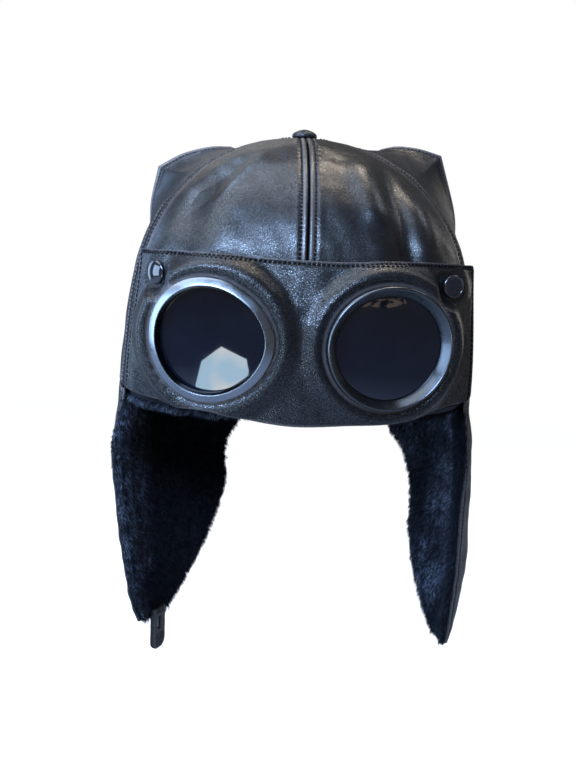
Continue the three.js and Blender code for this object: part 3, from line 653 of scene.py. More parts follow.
def leather_material(name, colour, grain, pebbled, creased, rough, pits=0.12, glint=1.05):
    """Leather: pebbled grain, fine creases, soft swells, blotches, welts painted paler (wear and painted highlight),
    seams and stitch trenches painted dark as shade.
    """
    s = Shading(name)
    pebbles = s.math("POWER", s.spread(s.cells(1 / grain, s.shaken(260.0, 1.1 * MM)), 0.0, 0.42), 0.6)
    pores = s.noise(2.2 / grain, 2.0, 0.6)
    drawn = s.node("Mapping", 0, {"Vector": s.shaken(40.0, 10 * MM), "Scale": (1.0, 1.0, 1.7)})
    creases = s.spread(s.math("ABSOLUTE", s.math("SUBTRACT", s.noise(105.0, 3.0, 0.55, drawn), 0.5)), 0.0, 0.035)
    wrinkles = s.noise(330.0, 3.0, 0.62, drawn)
    worn = s.noise(140.0, 4.0, 0.65)
    seam = s.attribute("seam")
    near = s.spread(seam, 0.2, 1.1)
    # The leather is pulled down at every stitch and rises between them
    aside = s.math("ABSOLUTE", s.attribute("stitch"))
    between = s.spread(s.math("COSINE", s.times(s.attribute("beat"), 2 * math.pi)), -0.4, 0.9)
    trench = s.math("MAXIMUM", s.spread(aside, 0.4, 0.9), between)
    pucker = s.times(between, s.spread(aside, 0.2, 1.4, 1.0, 0.0))
    groove_shade_mask = s.times(near, trench)
    # Welts beside the seams are painted paler: partly rubbed wear, partly a painted highlight on the ridge
    welt = s.times(s.spread(seam, 1.0, 2.0), s.spread(seam, 2.4, 4.2, 0.8, 0.0))
    tone = s.mix(s.spread(s.noise(24.0, 3.0, 0.5), 0.35, 0.65), tinted(colour, 0.8, (0.92, 0.98, 1.10)),
                 tinted(colour, 1.25, (1.10, 1.02, 0.92)))
    tone = s.mix(s.spread(pebbles, 0.0, 1.0, 0.4, 1.0), tinted(colour, 0.35), tone)
    tone = s.mix(s.spread(worn, 0.58, 0.8, 0.0, 0.5), tone, tinted(colour, 2.4, (1.05, 1.0, 0.95)))
    tone = s.mix(welt, tone, tinted(colour, 11.0, (1.3, 1.05, 0.8)))
    # Painted shade: seam grooves and stitch dents are painted near-black
    tone = s.mix(groove_shade_mask, tinted(colour, 0.15), tone)
    gloss = s.math("ADD", s.spread(worn, 0.3, 0.7, rough - 0.06, rough + 0.06),
                   s.spread(s.times(pebbles, trench), 0.0, 1.0, 0.22, 0.0))
    # Painted shade and highlight in the specular level: it is cut in seam grooves, stitch dents, creases and grain
    # pits, and raised beside seams and edges
    open_to_light = s.times(s.times(groove_shade_mask, s.spread(creases, 0.0, 1.0, 0.82, 1.0)),
                            s.spread(seam, 1.2, 3.2, 1.5, 1.0))
    shine = s.times(open_to_light, s.spread(pebbles, 0.15, 0.95, pits, glint))
    grained = s.math("MULTIPLY_ADD", pebbles, 0.75, s.times(pores, 0.5))
    relief = None
    for height, millimetres in ((s.noise(70.0, 3.0, 0.5), 0.18), (creases, creased * 0.04),
                                (wrinkles, creased * 0.06), (grained, pebbled), (trench, 0.12), (pucker, 0.12)):
        relief = s.bump(height, 1.0, millimetres, relief)
    return s.wire(Base_Color=tone, Roughness=gloss, Specular_IOR_Level=shine, Normal=relief)


def plush_material(name, colour):
    """Short plush: dark at the root, bluish grey at the tip, uneven from hair to hair and tuft to tuft, and painted
    pale as painted light by the tint attribute.
    """
    s = Shading(name, Roughness=0.6, Sheen_Weight=0.05, Sheen_Roughness=0.4, Sheen_Tint=(0.6, 0.7, 0.95, 1.0),
                Specular_IOR_Level=0.12)
    tip = s.attribute("tip")
    clumps = s.noise(150.0, 3.0, 0.6)
    hair = s.mix(s.spread(tip, 0.1, 1.0), tinted(colour, 0.12), tinted(colour, 0.8, (0.95, 1.0, 1.08)))
    # Painted light: hairs are painted pale, up to 27 times the plush colour, where the tint attribute is high, most
    # towards their tips
    hair = s.mix(s.times(s.attribute("tint"), s.spread(tip, 0.1, 0.8)), hair, tinted(colour, 27.0, (1.0, 1.0, 0.92)))
    hair = s.mix(s.spread(clumps, 0.40, 0.68, 0.0, 0.75), hair, tinted(colour, 0.3))
    return s.wire(Base_Color=hair, Normal=s.bump(clumps, 0.4, 1.5))


def rim_material(name, colour):
    s = Shading(name, Metallic=1.0, Coat_Weight=0.3, Coat_Roughness=0.08)
    smear = s.noise(38.0, 2.0, 0.5)
    tone = s.mix(s.spread(smear, 0.3, 0.7), tinted(colour, 0.85), tinted(colour, 1.15))
    # Painted light and shade: the attribute read here sets how much of the metal shows bright; where it is low the rim
    # is painted near-black
    tone = s.mix(s.attribute("painted_rim_light"), tinted(colour, 0.06), tone)
    return s.wire(Base_Color=tone, Roughness=s.spread(s.noise(240.0, 3.0, 0.6), 0.3, 0.7, 0.24, 0.34),
                  Normal=s.bump(smear, 0.06, 0.4))


def lens_material(name, colour):
    s = Shading(name, Coat_Weight=1.0, Coat_Roughness=0.02, Coat_IOR=1.6, Specular_IOR_Level=0.15)
    haze_and_painted_reflections = s.noise(55.0, 4.0, 0.6)
    height = s.node("SeparateXYZ", "Z", {0: s.place})
    # Paler and bluer towards the bottom, darker towards the top
    tone = s.mix(s.spread(height, -0.14, -0.085), tinted(colour, 1.3, (0.7, 0.95, 1.0)), tinted(colour, 0.4))
    # Painted reflection: pale warm patches stand for a room mirrored in the lens
    tone = s.mix(s.spread(haze_and_painted_reflections, 0.45, 0.75, 0.0, 0.35), tone, tinted(colour, 1.8, (1.3, 1.1, 0.9)))
    return s.wire(Base_Color=tone, Roughness=s.spread(haze_and_painted_reflections, 0.35, 0.75, 0.03, 0.12))


def snap_material(name):
    s = Shading(name, Coat_Weight=1.0, Coat_Roughness=0.03, Coat_IOR=1.75, Specular_IOR_Level=0.08)
    specks = s.noise(420.0, 3.0, 0.6)
    tone = s.mix(s.spread(specks, 0.35, 0.65), (0.004, 0.005, 0.008), (0.010, 0.011, 0.015))
    return s.wire(Base_Color=tone, Roughness=s.spread(specks, 0.3, 0.7, 0.10, 0.20))


def thread_material(name):
    s = Shading(name, Sheen_Weight=0.02, Specular_IOR_Level=0.06)
    twist = s.noise(2600.0, 2.0, 0.5)
    tone = s.mix(s.spread(twist, 0.35, 0.65), (0.0020, 0.0022, 0.0030), (0.0070, 0.0075, 0.0090))
    return s.wire(Base_Color=tone, Roughness=s.spread(twist, 0.3, 0.7, 0.6, 0.8), Normal=s.bump(twist, 0.5, 0.1))


def floor_material(name):
    """Pale paper that fades out away from the hat, so its far edge isn't seen, and is dimmer when mirrored."""
    s = Shading(name, Emission_Color=(1.0, 1.0, 1.0, 1.0))
    patches = s.noise(3.0, 3.0, 0.5)
    tone = s.mix(s.spread(patches, 0.3, 0.7), (0.48, 0.46, 0.44), (0.51, 0.49, 0.47))
    tone = s.mix(s.node("LightPath", "Is Glossy Ray"), tone, (0.20, 0.23, 0.28))
    s.wire(Base_Color=tone, Roughness=s.spread(patches, 0.3, 0.7, 0.8, 0.9),
           Emission_Strength=s.math("MULTIPLY_ADD", s.node("LightPath", "Is Camera Ray"), 0.56, 0.11))
    away = s.node("VectorMath", "Value", {0: s.place}, operation="LENGTH")
    fade = s.spread(away, 0.45, FLOOR_RADIUS * 0.95, interpolation_type="SMOOTHSTEP")
    clear = s.node("BsdfTransparent", 0)
    both = s.node("MixShader", 0, {0: fade, 1: s.shader.outputs[0], 2: clear})
    s.tree.links.new(both, s.tree.nodes["Material Output"].inputs["Surface"])
    return s.material


def glow_material(name, strength, mask, dim, bright):
    """What the mirrored cards show: two colours of light by a mask that is made from the coordinates."""
    s = Shading(name, Roughness=1.0, Emission_Strength=strength)
    shape, patches = mask(s)
    return s.wire(Base_Color=s.mix(shape, (0.0, 0.0, 0.0), (0.02, 0.02, 0.02)),
                  Emission_Color=s.mix(patches, dim, bright))


def sky(s):
    clouds = s.noise(9.0, 2.0, 0.5)
    return clouds, s.spread(clouds, 0.35, 0.65)


def warm_room(s):
    patches = s.spread(s.noise(34.0, 2.0, 0.5), 0.46, 0.54)
    return patches, patches


def material(look):
    """The hat's own material of that look, made on first use; the solids' plain ones have other names."""
    name = f"hat_{look}"
    if name in bpy.data.materials:
        return bpy.data.materials[name]
    colours = bpy.context.scene.hat_colours
    grain = bpy.context.scene.hat_sizes.grain_size
    make, *values = {
        "grained_leather": (leather_material, colours.leather, grain, 0.070, 0.4, 0.19, 0.34, 0.97),
        "pebbled_leather": (leather_material, colours.leather, grain, 0.105, 0.4, 0.19),
        "smooth_leather": (leather_material, colours.smooth_leather, grain * 0.9, 0.040, 0.4, 0.28),
        "tab_leather": (leather_material, colours.leather, grain, 0.06, 0.6, 0.42),
        "plush": (plush_material, colours.plush),
        "gunmetal": (rim_material, colours.rim_metal),
        "dark_lens": (lens_material, colours.lens),
        "snap_enamel": (snap_material,),
        "thread": (thread_material,),
        "pale_floor": (floor_material,),
        "window": (glow_material, 9.0, sky, (0.55, 0.80, 1.0), (1.0, 1.0, 1.0)),
        "warm_room": (glow_material, 0.9, warm_room, (0.03, 0.03, 0.03), (1.0, 0.78, 0.56)),
    }[look]
    return make(name, *values)


# Crown
STITCHED_WIDTH = 3.2  # A row of a crown panel carries stitches if it is wider than this many seam insets
NO_STITCH = 9.0  # Distance from a stitch line that counts as none near


def seam_relief(distance, run, grid):
    """Groove, welt, stitch dent and soft puckers beside a seam, by the distance from it."""
    inset = bpy.context.scene.hat_sizes.seam_inset / MM
    relief = (-0.9 * hump(distance, 0, 0.5) + 0.45 * hump(distance, inset * 0.45, 1.1)
              - 0.45 * hump(distance, inset, 0.55) + 0.35 * hump(distance, inset + 1.8, 1.4))
    puckers = np.sin(run * 2 * math.pi / 5.2 + 2.5 * ripple(grid, 17, 3))
    return relief + 0.22 * puckers * hump(distance, inset + 1.2, 1.8)


def crown_leather(side, panel):
    """Grid of a crown panel with its relief, the bare one, its normals, and its distances from all edges, from its
    front seam, and from seam to seam."""
    rows = np.concatenate([i + np.arange(n) / n for i, n in enumerate(ROWS_BETWEEN)] + [[len(ROWS_BETWEEN)]])
    bare, at, total = spread(lambda s, v: crown_point(side, panel, s, v), rows, 2.1)
    normals = normals_of(bare, HOLLOW_CENTRE)
    from_seam = np.minimum(at, total - at)
    run = run_along(bare)
    wide = np.minimum(1, total / 24)
    relief = seam_relief(from_seam, run, bare) * wide
    relief += 0.45 * ripple(bare, 34, 11) * smooth(from_seam / 12) + 0.2 * ripple(bare, 15, 12) * smooth(from_seam / 8)
    relief -= 0.8 * hump(run, 0, 0.6)
    if panel == "front":
        x, z = bare[..., 0], bare[..., 2]
        relief += (soft_folds(x, z) - 0.5 * fold_depth(x, z)) * smooth(from_seam / 9)
    return bare + normals * relief[..., None], bare, normals, np.minimum(from_seam, run), at, total


class HAT_OT_crown(bpy.types.Operator):
    """Makes the six leather panels of the crown and the stitching along their seams"""
    bl_idname = "hat.crown"
    bl_label = "Crown"

    def execute(self, context):
        pitch, inset, k = stitch_sizes("seam_inset")
        seams = []
        for side in SIDES:
            for panel in ("front", "side", "back"):
                outer, bare, normals, seam, at, total = crown_leather(side, panel)
                inner = bare - normals * LEATHER
                inner[0, :, 2] = outer[0, :, 2] = RIM_Z
                *shape, used = wall(outer, inner)
                wide = total > STITCHED_WIDTH * inset
                stitch = np.where(wide, np.minimum(at, total - at) - inset, NO_STITCH)
                rows = np.flatnonzero(wide)
                columns = (k, outer.shape[1] - 1 - k)
                first, last = (beats(outer[rows, c], rows, len(outer), pitch)[:, None] for c in columns)
                # The seam between front and side lies along the line of sight: its painted groove shade, welt
                # highlight and stitch dents are broader
                broad = {"front": at > total / 2, "side": at < total / 2, "back": at < 0}[panel]
                values = twice(used, seam=np.where(broad, 0.45, 1) * seam, stitch=np.where(broad, 0.45, 1.1) * stitch,
                               beat=np.where(at < total / 2, first, last))
                look = "grained_leather" if panel == "front" else "smooth_leather"
                node = f"crown_{panel}_{side}"
                mesh_object(f"{node}_leather", shape, look, values, node)
                seams += [stitched(outer[rows, c], normals[rows, c], pitch,
                                   "crown_side_seam" if broad[rows[0], c] else "crown") for c in columns]
        stitching("crown_stitching", seams)
        return {"FINISHED"}


# Turned pieces
def lathed(profile, segments, side=None):
    """Grid of a profile of (radius, height) turned about a seat's axis, out of round as that side's ring is."""
    profile = np.asarray(profile, float)
    angle = np.linspace(0, 2 * math.pi, segments, endpoint=False)
    reach = np.ones(segments) if side is None else ring_stretch(side, angle)
    r = profile[None, :, 0] * reach[:, None]
    return vec(r * np.cos(angle)[:, None], r * np.sin(angle)[:, None], profile[None, :, 1] + 0 * r)


def ring_faces(index):
    """Faces between the vertices of a turned profile, the last profile's to the first's and round the profile."""
    after = np.roll(index, -1, 0)
    return np.stack([index, after, np.roll(after, -1, 1), np.roll(index, -1, 1)], -1)


def seated(points, seat):
    """Points of a turned piece moved onto its seat."""
    origin, out, across = seat_axes(seat)
    return origin + points[..., :1] * across + points[..., 1:2] * np.array([0, 0, 1.0]) + points[..., 2:] * out


def rounded(points):
    """An open profile with its corners cut twice, for smoother turned pieces."""
    points = np.asarray(points, float)
    for _ in range(2):
        a, b = points[:-1], points[1:]
        points = np.concatenate([points[:1], np.stack([0.75 * a + 0.25 * b, 0.25 * a + 0.75 * b], 1).reshape(-1, 2),
                                 points[-1:]])
    return points


def turned_solid(profile, segments, side=None):
    """Points and faces of a solid turned about an axis, whose profile starts and ends on that axis."""
    points = lathed(profile[1:-1], segments, side)
    index = np.arange(points[..., 0].size).reshape(segments, -1)
    after = np.roll(index, -1, 0)
    pole = np.full(segments, index.size)
    faces = [ring_faces(index)[:, :-1].reshape(-1, 4), np.stack([pole, after[:, 0], index[:, 0]], -1),
             np.stack([index[:, -1], after[:, -1], pole + 1], -1)]
    return np.concatenate([points.reshape(-1, 3), [(0, 0, profile[k][1]) for k in (0, -1)]]), faces


class HAT_OT_button(bpy.types.Operator):
    """Makes the leather-covered button on top of the crown"""
    bl_idname = "hat.button"
    bl_label = "Top button"

    def execute(self, context):
        r, rise = BUTTON_RADIUS, BUTTON_HEIGHT
        shell = rounded([(3.6, 0), (3.6, 2.6), (r - 1.2, 2.5), (r - 0.2, 3.0), (r, 4.1), (r - 0.5, 5.2),
                         (r - 2.0, 6.4), (r - 4.2, 7.3), (1.2, 7.9), (0, 8.0)])
        points, faces = turned_solid([(0, 0), *shell[:-1], (0, rise + 2.7)], 64)
        angle = np.arctan2(points[:, 1], points[:, 0])
        radius = np.hypot(points[:, 0], points[:, 1])
        gather = 0.10 * np.sin(angle * 18) * smooth((radius - 4) / 3) * smooth((points[:, 2] - 2.4) / 1.5)
        points[:, :2] *= (1 + gather / np.maximum(radius, 1))[:, None]
        values = {"seam": 0 * radius + 6, "stitch": 0 * radius + NO_STITCH, "beat": 0 * radius}
        mesh_object("top_button_cover", (points, faces), "smooth_leather", values, "top_button")
        return {"FINISHED"}


# Goggle panel
PANEL_STEP = 1.35
PANEL_HEIGHT, PANEL_WIDTH = 80.0, 190.0
PANEL_PITCH = 1.05  # Its stitches are this much longer than the crown's


def panel_leather():
    """Grid of the goggle panel with its relief, the bare one, its normals, and its distances from all edges, from
    the goggles' holes, from the stitched edges and from the sides."""
    rows = stations([PANEL_HEIGHT], PANEL_STEP)[0] / PANEL_HEIGHT
    corner = np.maximum(0, PANEL_CORNER - np.minimum(rows, 1 - rows) * PANEL_HEIGHT)
    cut = (PANEL_CORNER - np.sqrt(PANEL_CORNER**2 - corner**2)) / PANEL_WIDTH

    def point(w, u):
        inset = np.interp(w, rows, cut)
        return panel_point(w, lerp(inset, 1 - inset, u))

    bare, at, total = spread(point, rows, PANEL_STEP)
    normals = normals_of(bare, (0, 0, PANEL_MID_Z))
    from_side = np.minimum(at, total - at)
    run = run_along(bare)
    stitch = np.minimum(from_side, run)
    edge = np.minimum(stitch, run[-1:] - run)
    _, inset, _ = stitch_sizes("stitch_inset")
    relief = -0.6 * hump(stitch, inset, 0.45) + 0.6 * hump(stitch, inset * 0.4, 0.9)
    relief += 0.5 * hump(stitch, inset + 1.8, 1.4)
    relief += 0.5 * ripple(bare, 30, 21) * smooth(edge / 9) + 0.22 * ripple(bare, 12, 22) * smooth(edge / 6)
    hole = np.full(bare.shape[:2], 99.0)
    for side, seat in GOGGLES.items():
        radius, angle = seat_spot(bare, seat)
        radius = radius / ring_stretch(side, angle)
        hole = np.minimum(hole, radius - RING_NECK - CLEAR)
        roll = 1.2 * hump(radius, RING_RADIUS + 5.0, 3.2) - 0.5 * hump(radius, RING_RADIUS + 0.7, 0.9)
        gathers = np.sin(angle * 34 + 2 * ripple(bare, 22, 31)) * hump(radius, RING_RADIUS + 3.2, 2.0)
        held = smooth((RING_RADIUS + 14 - radius) / 6)
        relief = lerp(relief, relief * 0.5, held) + roll + 0.10 * gathers
    for seat in SNAPS.values():
        radius, _ = seat_spot(bare, seat)
        relief = lerp(relief, -0.15, smooth((SNAP_RADIUS + 4 - radius) / 2.5))
    return bare + normals * relief[..., None], bare, normals, edge, hole, stitch, from_side


class HAT_OT_goggle_panel(bpy.types.Operator):
    """Makes the leather panel that carries the goggles, with its topstitching"""
    bl_idname = "hat.goggle_panel"
    bl_label = "Goggle panel"

    def execute(self, context):
        pitch, inset, k = stitch_sizes("stitch_inset")
        grid, bare, normals, edge, hole, stitch, from_side = panel_leather()
        # The rows of vertices beside a hole are drawn onto its outline
        keep = ~((hole[:-1, :-1] < 0) & (hole[1:, :-1] < 0) & (hole[:-1, 1:] < 0) & (hole[1:, 1:] < 0))
        for side, seat in GOGGLES.items():
            origin, _, across = seat_axes(seat)
            radius, angle = seat_spot(bare, seat)
            reach = (RING_NECK + CLEAR) * ring_stretch(side, angle)
            inside = radius < reach
            snap = origin + (np.cos(angle) * reach)[..., None] * across
            snap[..., 2] = origin[2] + np.sin(angle) * reach
            grid[inside] = bare[inside] = snap[inside]
        outer, inner = fattened(grid, normals, np.minimum(edge, np.maximum(hole, 0) + 1.0))
        inner = np.where((hole < 8)[..., None], bare - normals * LEATHER, inner)
        *shape, used = wall(outer, inner, keep)
        seam = np.minimum(edge + 1.2, np.maximum(hole - 1.2, 0) * 1.2)
        n, m = hole.shape
        top = beats(outer[k, k:m - k], np.arange(k, m - k), m, pitch * PANEL_PITCH)
        sides = [beats(outer[k:, c], np.arange(k, n), n, pitch * PANEL_PITCH)[:, None] for c in (k, m - 1 - k)]
        beside = np.where(np.arange(m)[None] < m / 2, *sides)
        down = run_along(bare)
        values = twice(used, seam=seam + 1.0, stitch=np.where(down > from_side, 0.8, 1.2) * (stitch - inset),
                       beat=np.where(down < from_side, top[None], beside))
        mesh_object("goggle_panel_leather", shape, "pebbled_leather", values, "goggle_panel")
        lines = [(k, slice(k, m - k)), (slice(k, None), k), (slice(k, None), m - 1 - k)]
        stitching("panel_stitching", [stitched(outer[line], normals[line], pitch * PANEL_PITCH, "panel")
                                      for line in lines])
        return {"FINISHED"}


class HAT_OT_goggles(bpy.types.Operator):
    """Makes the goggle rims and their dark lenses"""
    bl_idname = "hat.goggles"
    bl_label = "Goggles"

    def execute(self, context):
        r, lens = RING_RADIUS, LENS_RADIUS
        foot = [(r - 1.9, 0.3), (r - 0.1, 0.3), (r + 0.1, 1.2)]
        crests = {"left": [(r, 2.5), (r - 0.5, 3.2), (r - 2.2, 4.2), (r - 3.9, 5.1), (r - 4.4, 5.1), (r - 4.6, 4.4)],
                  "right": [(r, 3.4), (r - 0.3, 4.4), (r - 0.9, 5.1), (r - 1.5, 5.1), (r - 2.0, 4.7)]}
        behind = -LEATHER - CLEAR
        rear = [(lens + 0.3, -0.2), (lens + 0.3, -2.6), (lens - 1.2, -2.6), (lens - 1.2, -3.6), (r + 0.6, -3.6),
                (r + 0.6, behind), (RING_NECK, behind), (RING_NECK, 0.3)]
        glass = [(0, -2.3), (lens - 0.05, -2.3), (lens, -0.6), (lens - 0.2, -0.5)]
        glass += [(x, -0.5 + 1.3 * (1 - (x / lens) ** 2)) for x in np.linspace(lens - 1.3, 1.5, 14)] + [(0, 0.8)]
        for side, seat in GOGGLES.items():
            ring = [*rounded([*foot, *crests[side], (lens - 0.3, 1.2), (lens - 0.9, -0.2)]), *rear]
            points = seated(lathed(ring, 160, side), seat)
            faces = ring_faces(np.arange(points[..., 0].size).reshape(160, -1)).reshape(-1, 4)
            radius, height = np.array(ring).T
            # Painted light: the left rim's outer edge is painted bright and its inner bevel and back dark; the right
            # rim is painted mostly dark all over
            painted_rim_light = smooth((radius - (r - 4.7)) / 0.4) * 0.8 if side == "left" else 0.22
            mesh_object(f"goggle_rim_{side}", (points.reshape(-1, 3), faces), "gunmetal",
                        {"painted_rim_light": np.broadcast_to(painted_rim_light * (height > 0), points.shape[:2])}, f"goggle_ring_{side}")
            points, faces = turned_solid(glass, 128, side)
            mesh_object(f"dark_lens_{side}", (seated(points, seat), faces), "dark_lens",
                        node=f"goggle_lens_{side}")
        return {"FINISHED"}


class HAT_OT_snaps(bpy.types.Operator):
    """Makes the two snap caps in the corners of the goggle panel"""
    bl_idname = "hat.snaps"
    bl_label = "Snaps"

    def execute(self, context):
        r, behind = SNAP_RADIUS, -LEATHER - CLEAR
        post = [(0, behind - 0.7), (5, behind - 0.7), (5, behind), (SNAP_NECK, behind), (SNAP_NECK, 0.3)]
        for side, seat in SNAPS.items():
            # The left cap is domed to a radius of 12 mm, the right one is dished inside a rolled rim
            if side == "left":
                top = 2.85
                cap = [(r, 0.7), *((x, top - 12.0 + math.sqrt(144 - x * x)) for x in (6.1, 5.3, 4.4, 3.5, 2.6, 1.7))]
            else:
                top = 1.9
                cap = [(r, 0.6), (r, 1.3), (r - 0.5, 1.9), (r - 0.9, 1.8), (r - 1.2, 1.5), (r - 2.6, 1.6)]
            cap = rounded([(r - 0.3, 0.3), *cap, (0.6, top)])
            points, faces = turned_solid([*post, *cap, (0, top)], 64)
            mesh_object(f"snap_cap_{side}", (seated(points, seat), faces), "snap_enamel",
                        node=f"snap_{side}")
        return {"FINISHED"}


# Ear flaps
FLAP_PITCH = 1.15  # Their stitches are this much longer than the crown's
BETWEEN_FLAPS = (0, 10, -230)


def flap_grid(side, top, step):
    """Grid of a flap below a level, its normals, and the levels and the distances of its rows and columns."""
    rows = top - stations([top - FLAPS[side]["z"][-1]], step)[0]
    grid, at, total = spread(lambda z, p: flap_point(side, z, p), rows, step)
    return grid, normals_of(grid, BETWEEN_FLAPS), rows, at, total - at


def flap_leather(side):
    """Grid of a flap's leather with its relief, the bare one, its normals, and its distance from the edges."""
    bare, normals, _, at, from_rear = flap_grid(side, RIM_Z - CLEAR, 2.2)
    run = run_along(bare)
    stitch = np.minimum(np.minimum(at, from_rear), run[-1:] - run)
    edge = np.minimum(stitch, run)
    _, inset, _ = stitch_sizes("stitch_inset")
    relief = -0.4 * hump(stitch, inset, 0.45) + 0.3 * hump(stitch, inset + 2.2, 1.6)
    relief += 0.7 * ripple(bare, 42, 41) * smooth(edge / 14) + 0.3 * ripple(bare * np.array([1, 1, 2.2]), 19, 42)
    return bare + normals * relief[..., None], bare, normals, edge


class HAT_OT_flaps(bpy.types.Operator):
    """Makes the leather of the two ear flaps with its topstitching"""
    bl_idname = "hat.flaps"
    bl_label = "Ear flaps"

    def execute(self, context):
        pitch, inset, k = stitch_sizes("stitch_inset")
        parts = []
        for side in SIDES:
            grid, bare, normals, edge = flap_leather(side)
            outer, _ = fattened(grid, normals, edge)
            _, inner = fattened(bare, normals, edge)
            inner[0, :, 2] = outer[0, :, 2] = RIM_Z - CLEAR
            *shape, used = wall(outer, inner)
            n, m = edge.shape
            last = m - 1 - k
            beside = [beats(outer[:, c], np.arange(n), n, pitch * FLAP_PITCH)[:, None] for c in (k, last)]
            values = twice(used, seam=edge + 1.0, stitch=np.minimum(edge, NO_STITCH) - inset,
                           beat=np.where(np.arange(m)[None] < m / 2, *beside))
            mesh_object(f"ear_flap_{side}_leather", shape, "smooth_leather", values,
                        f"ear_flap_{side}")
            lines = [(slice(None), k), (slice(None), last), (n - 1 - k, slice(k, last))]
            parts += [stitched(outer[line], normals[line], pitch * FLAP_PITCH, "flap") for line in lines]
        stitching("flap_stitching", parts)
        return {"FINISHED"}


# Plush
HAIR_WIDTH = 0.46
PLUSH_SEEDS = {"left": 7, "right": 8, "rim": 9}
FACE_SHARE, CURL_SHARE = 0.82, 0.18  # Most hairs stand on the whole face, the others curl over the flap's edges


def plush_sizes(share):
    """Number and length of a piece's hairs, whose number is a share of a flap's."""
    sizes = bpy.context.scene.hat_sizes
    return int(sizes.hairs_per_flap * share) // 1, sizes.pile_length / MM


def hairs(roots, way, lean, length, rng, painted_light):
    """Tapering bent hairs: points, faces, and the values that their material reads."""
    count = len(roots)
    across = unit(np.cross(way, rng.normal(size=(count, 3))))
    half = (HAIR_WIDTH / 2 * rng.uniform(0.7, 1.25, (count, 1))) * across
    middle = roots + way * length[:, None] * 0.55
    tips = middle + unit(way * 0.7 + lean) * length[:, None] * 0.5
    points = np.stack([roots - half, roots + half, middle - half * 0.72, middle + half * 0.72, tips], 1)
    start = (np.arange(count) * points.shape[1])[:, None]
    tip = np.tile([0.0, 0.0, 0.55, 0.55, 1.0], count)
    # How much painted light each hair takes: about a third of the hairs take much of the painted light of their spot,
    # the rest little
    light = np.where(rng.random(count) < 0.3, rng.uniform(0.4, 1.0, count), rng.uniform(0.02, 0.2, count))
    tint = np.repeat(light * (0.03 + 0.97 * painted_light), points.shape[1])
    faces = [start + np.array([[0, 1, 3, 2]]), start + np.array([[2, 3, 4]])]
    return points.reshape(-1, 3), faces, tip, tint


def plush_object(name, skin, parts, node):
    """One piece of plush: its skin and its hairs."""
    dark = np.zeros(len(skin[0]))
    stack, sheets, tips, tints = [skin[0]], [skin[1]], [dark], [dark]
    for points, faces, tip, tint in parts:
        start = sum(map(len, stack))
        sheets += [f + start for f in faces]
        stack.append(points)
        tips.append(tip)
        tints.append(np.minimum(tint, 1))
    mesh_object(name, (np.concatenate(stack), sheets), "plush",
                {"tip": np.concatenate(tips), "tint": np.concatenate(tints)}, node)


def drawn_from(rng, count, weight):
    """Cells of a grid drawn by weight, and a place inside each."""
    picked = rng.choice(weight.size, count, p=(weight / weight.sum()).ravel())
    i, j = np.unravel_index(picked, weight.shape)
    a, b = rng.random((2, count, 1))

    def value(grid):
        grid = grid[..., None] if grid.ndim == 2 else grid
        return lerp(lerp(grid[i, j], grid[i + 1, j], a), lerp(grid[i, j + 1], grid[i + 1, j + 1], a), b)

    return value


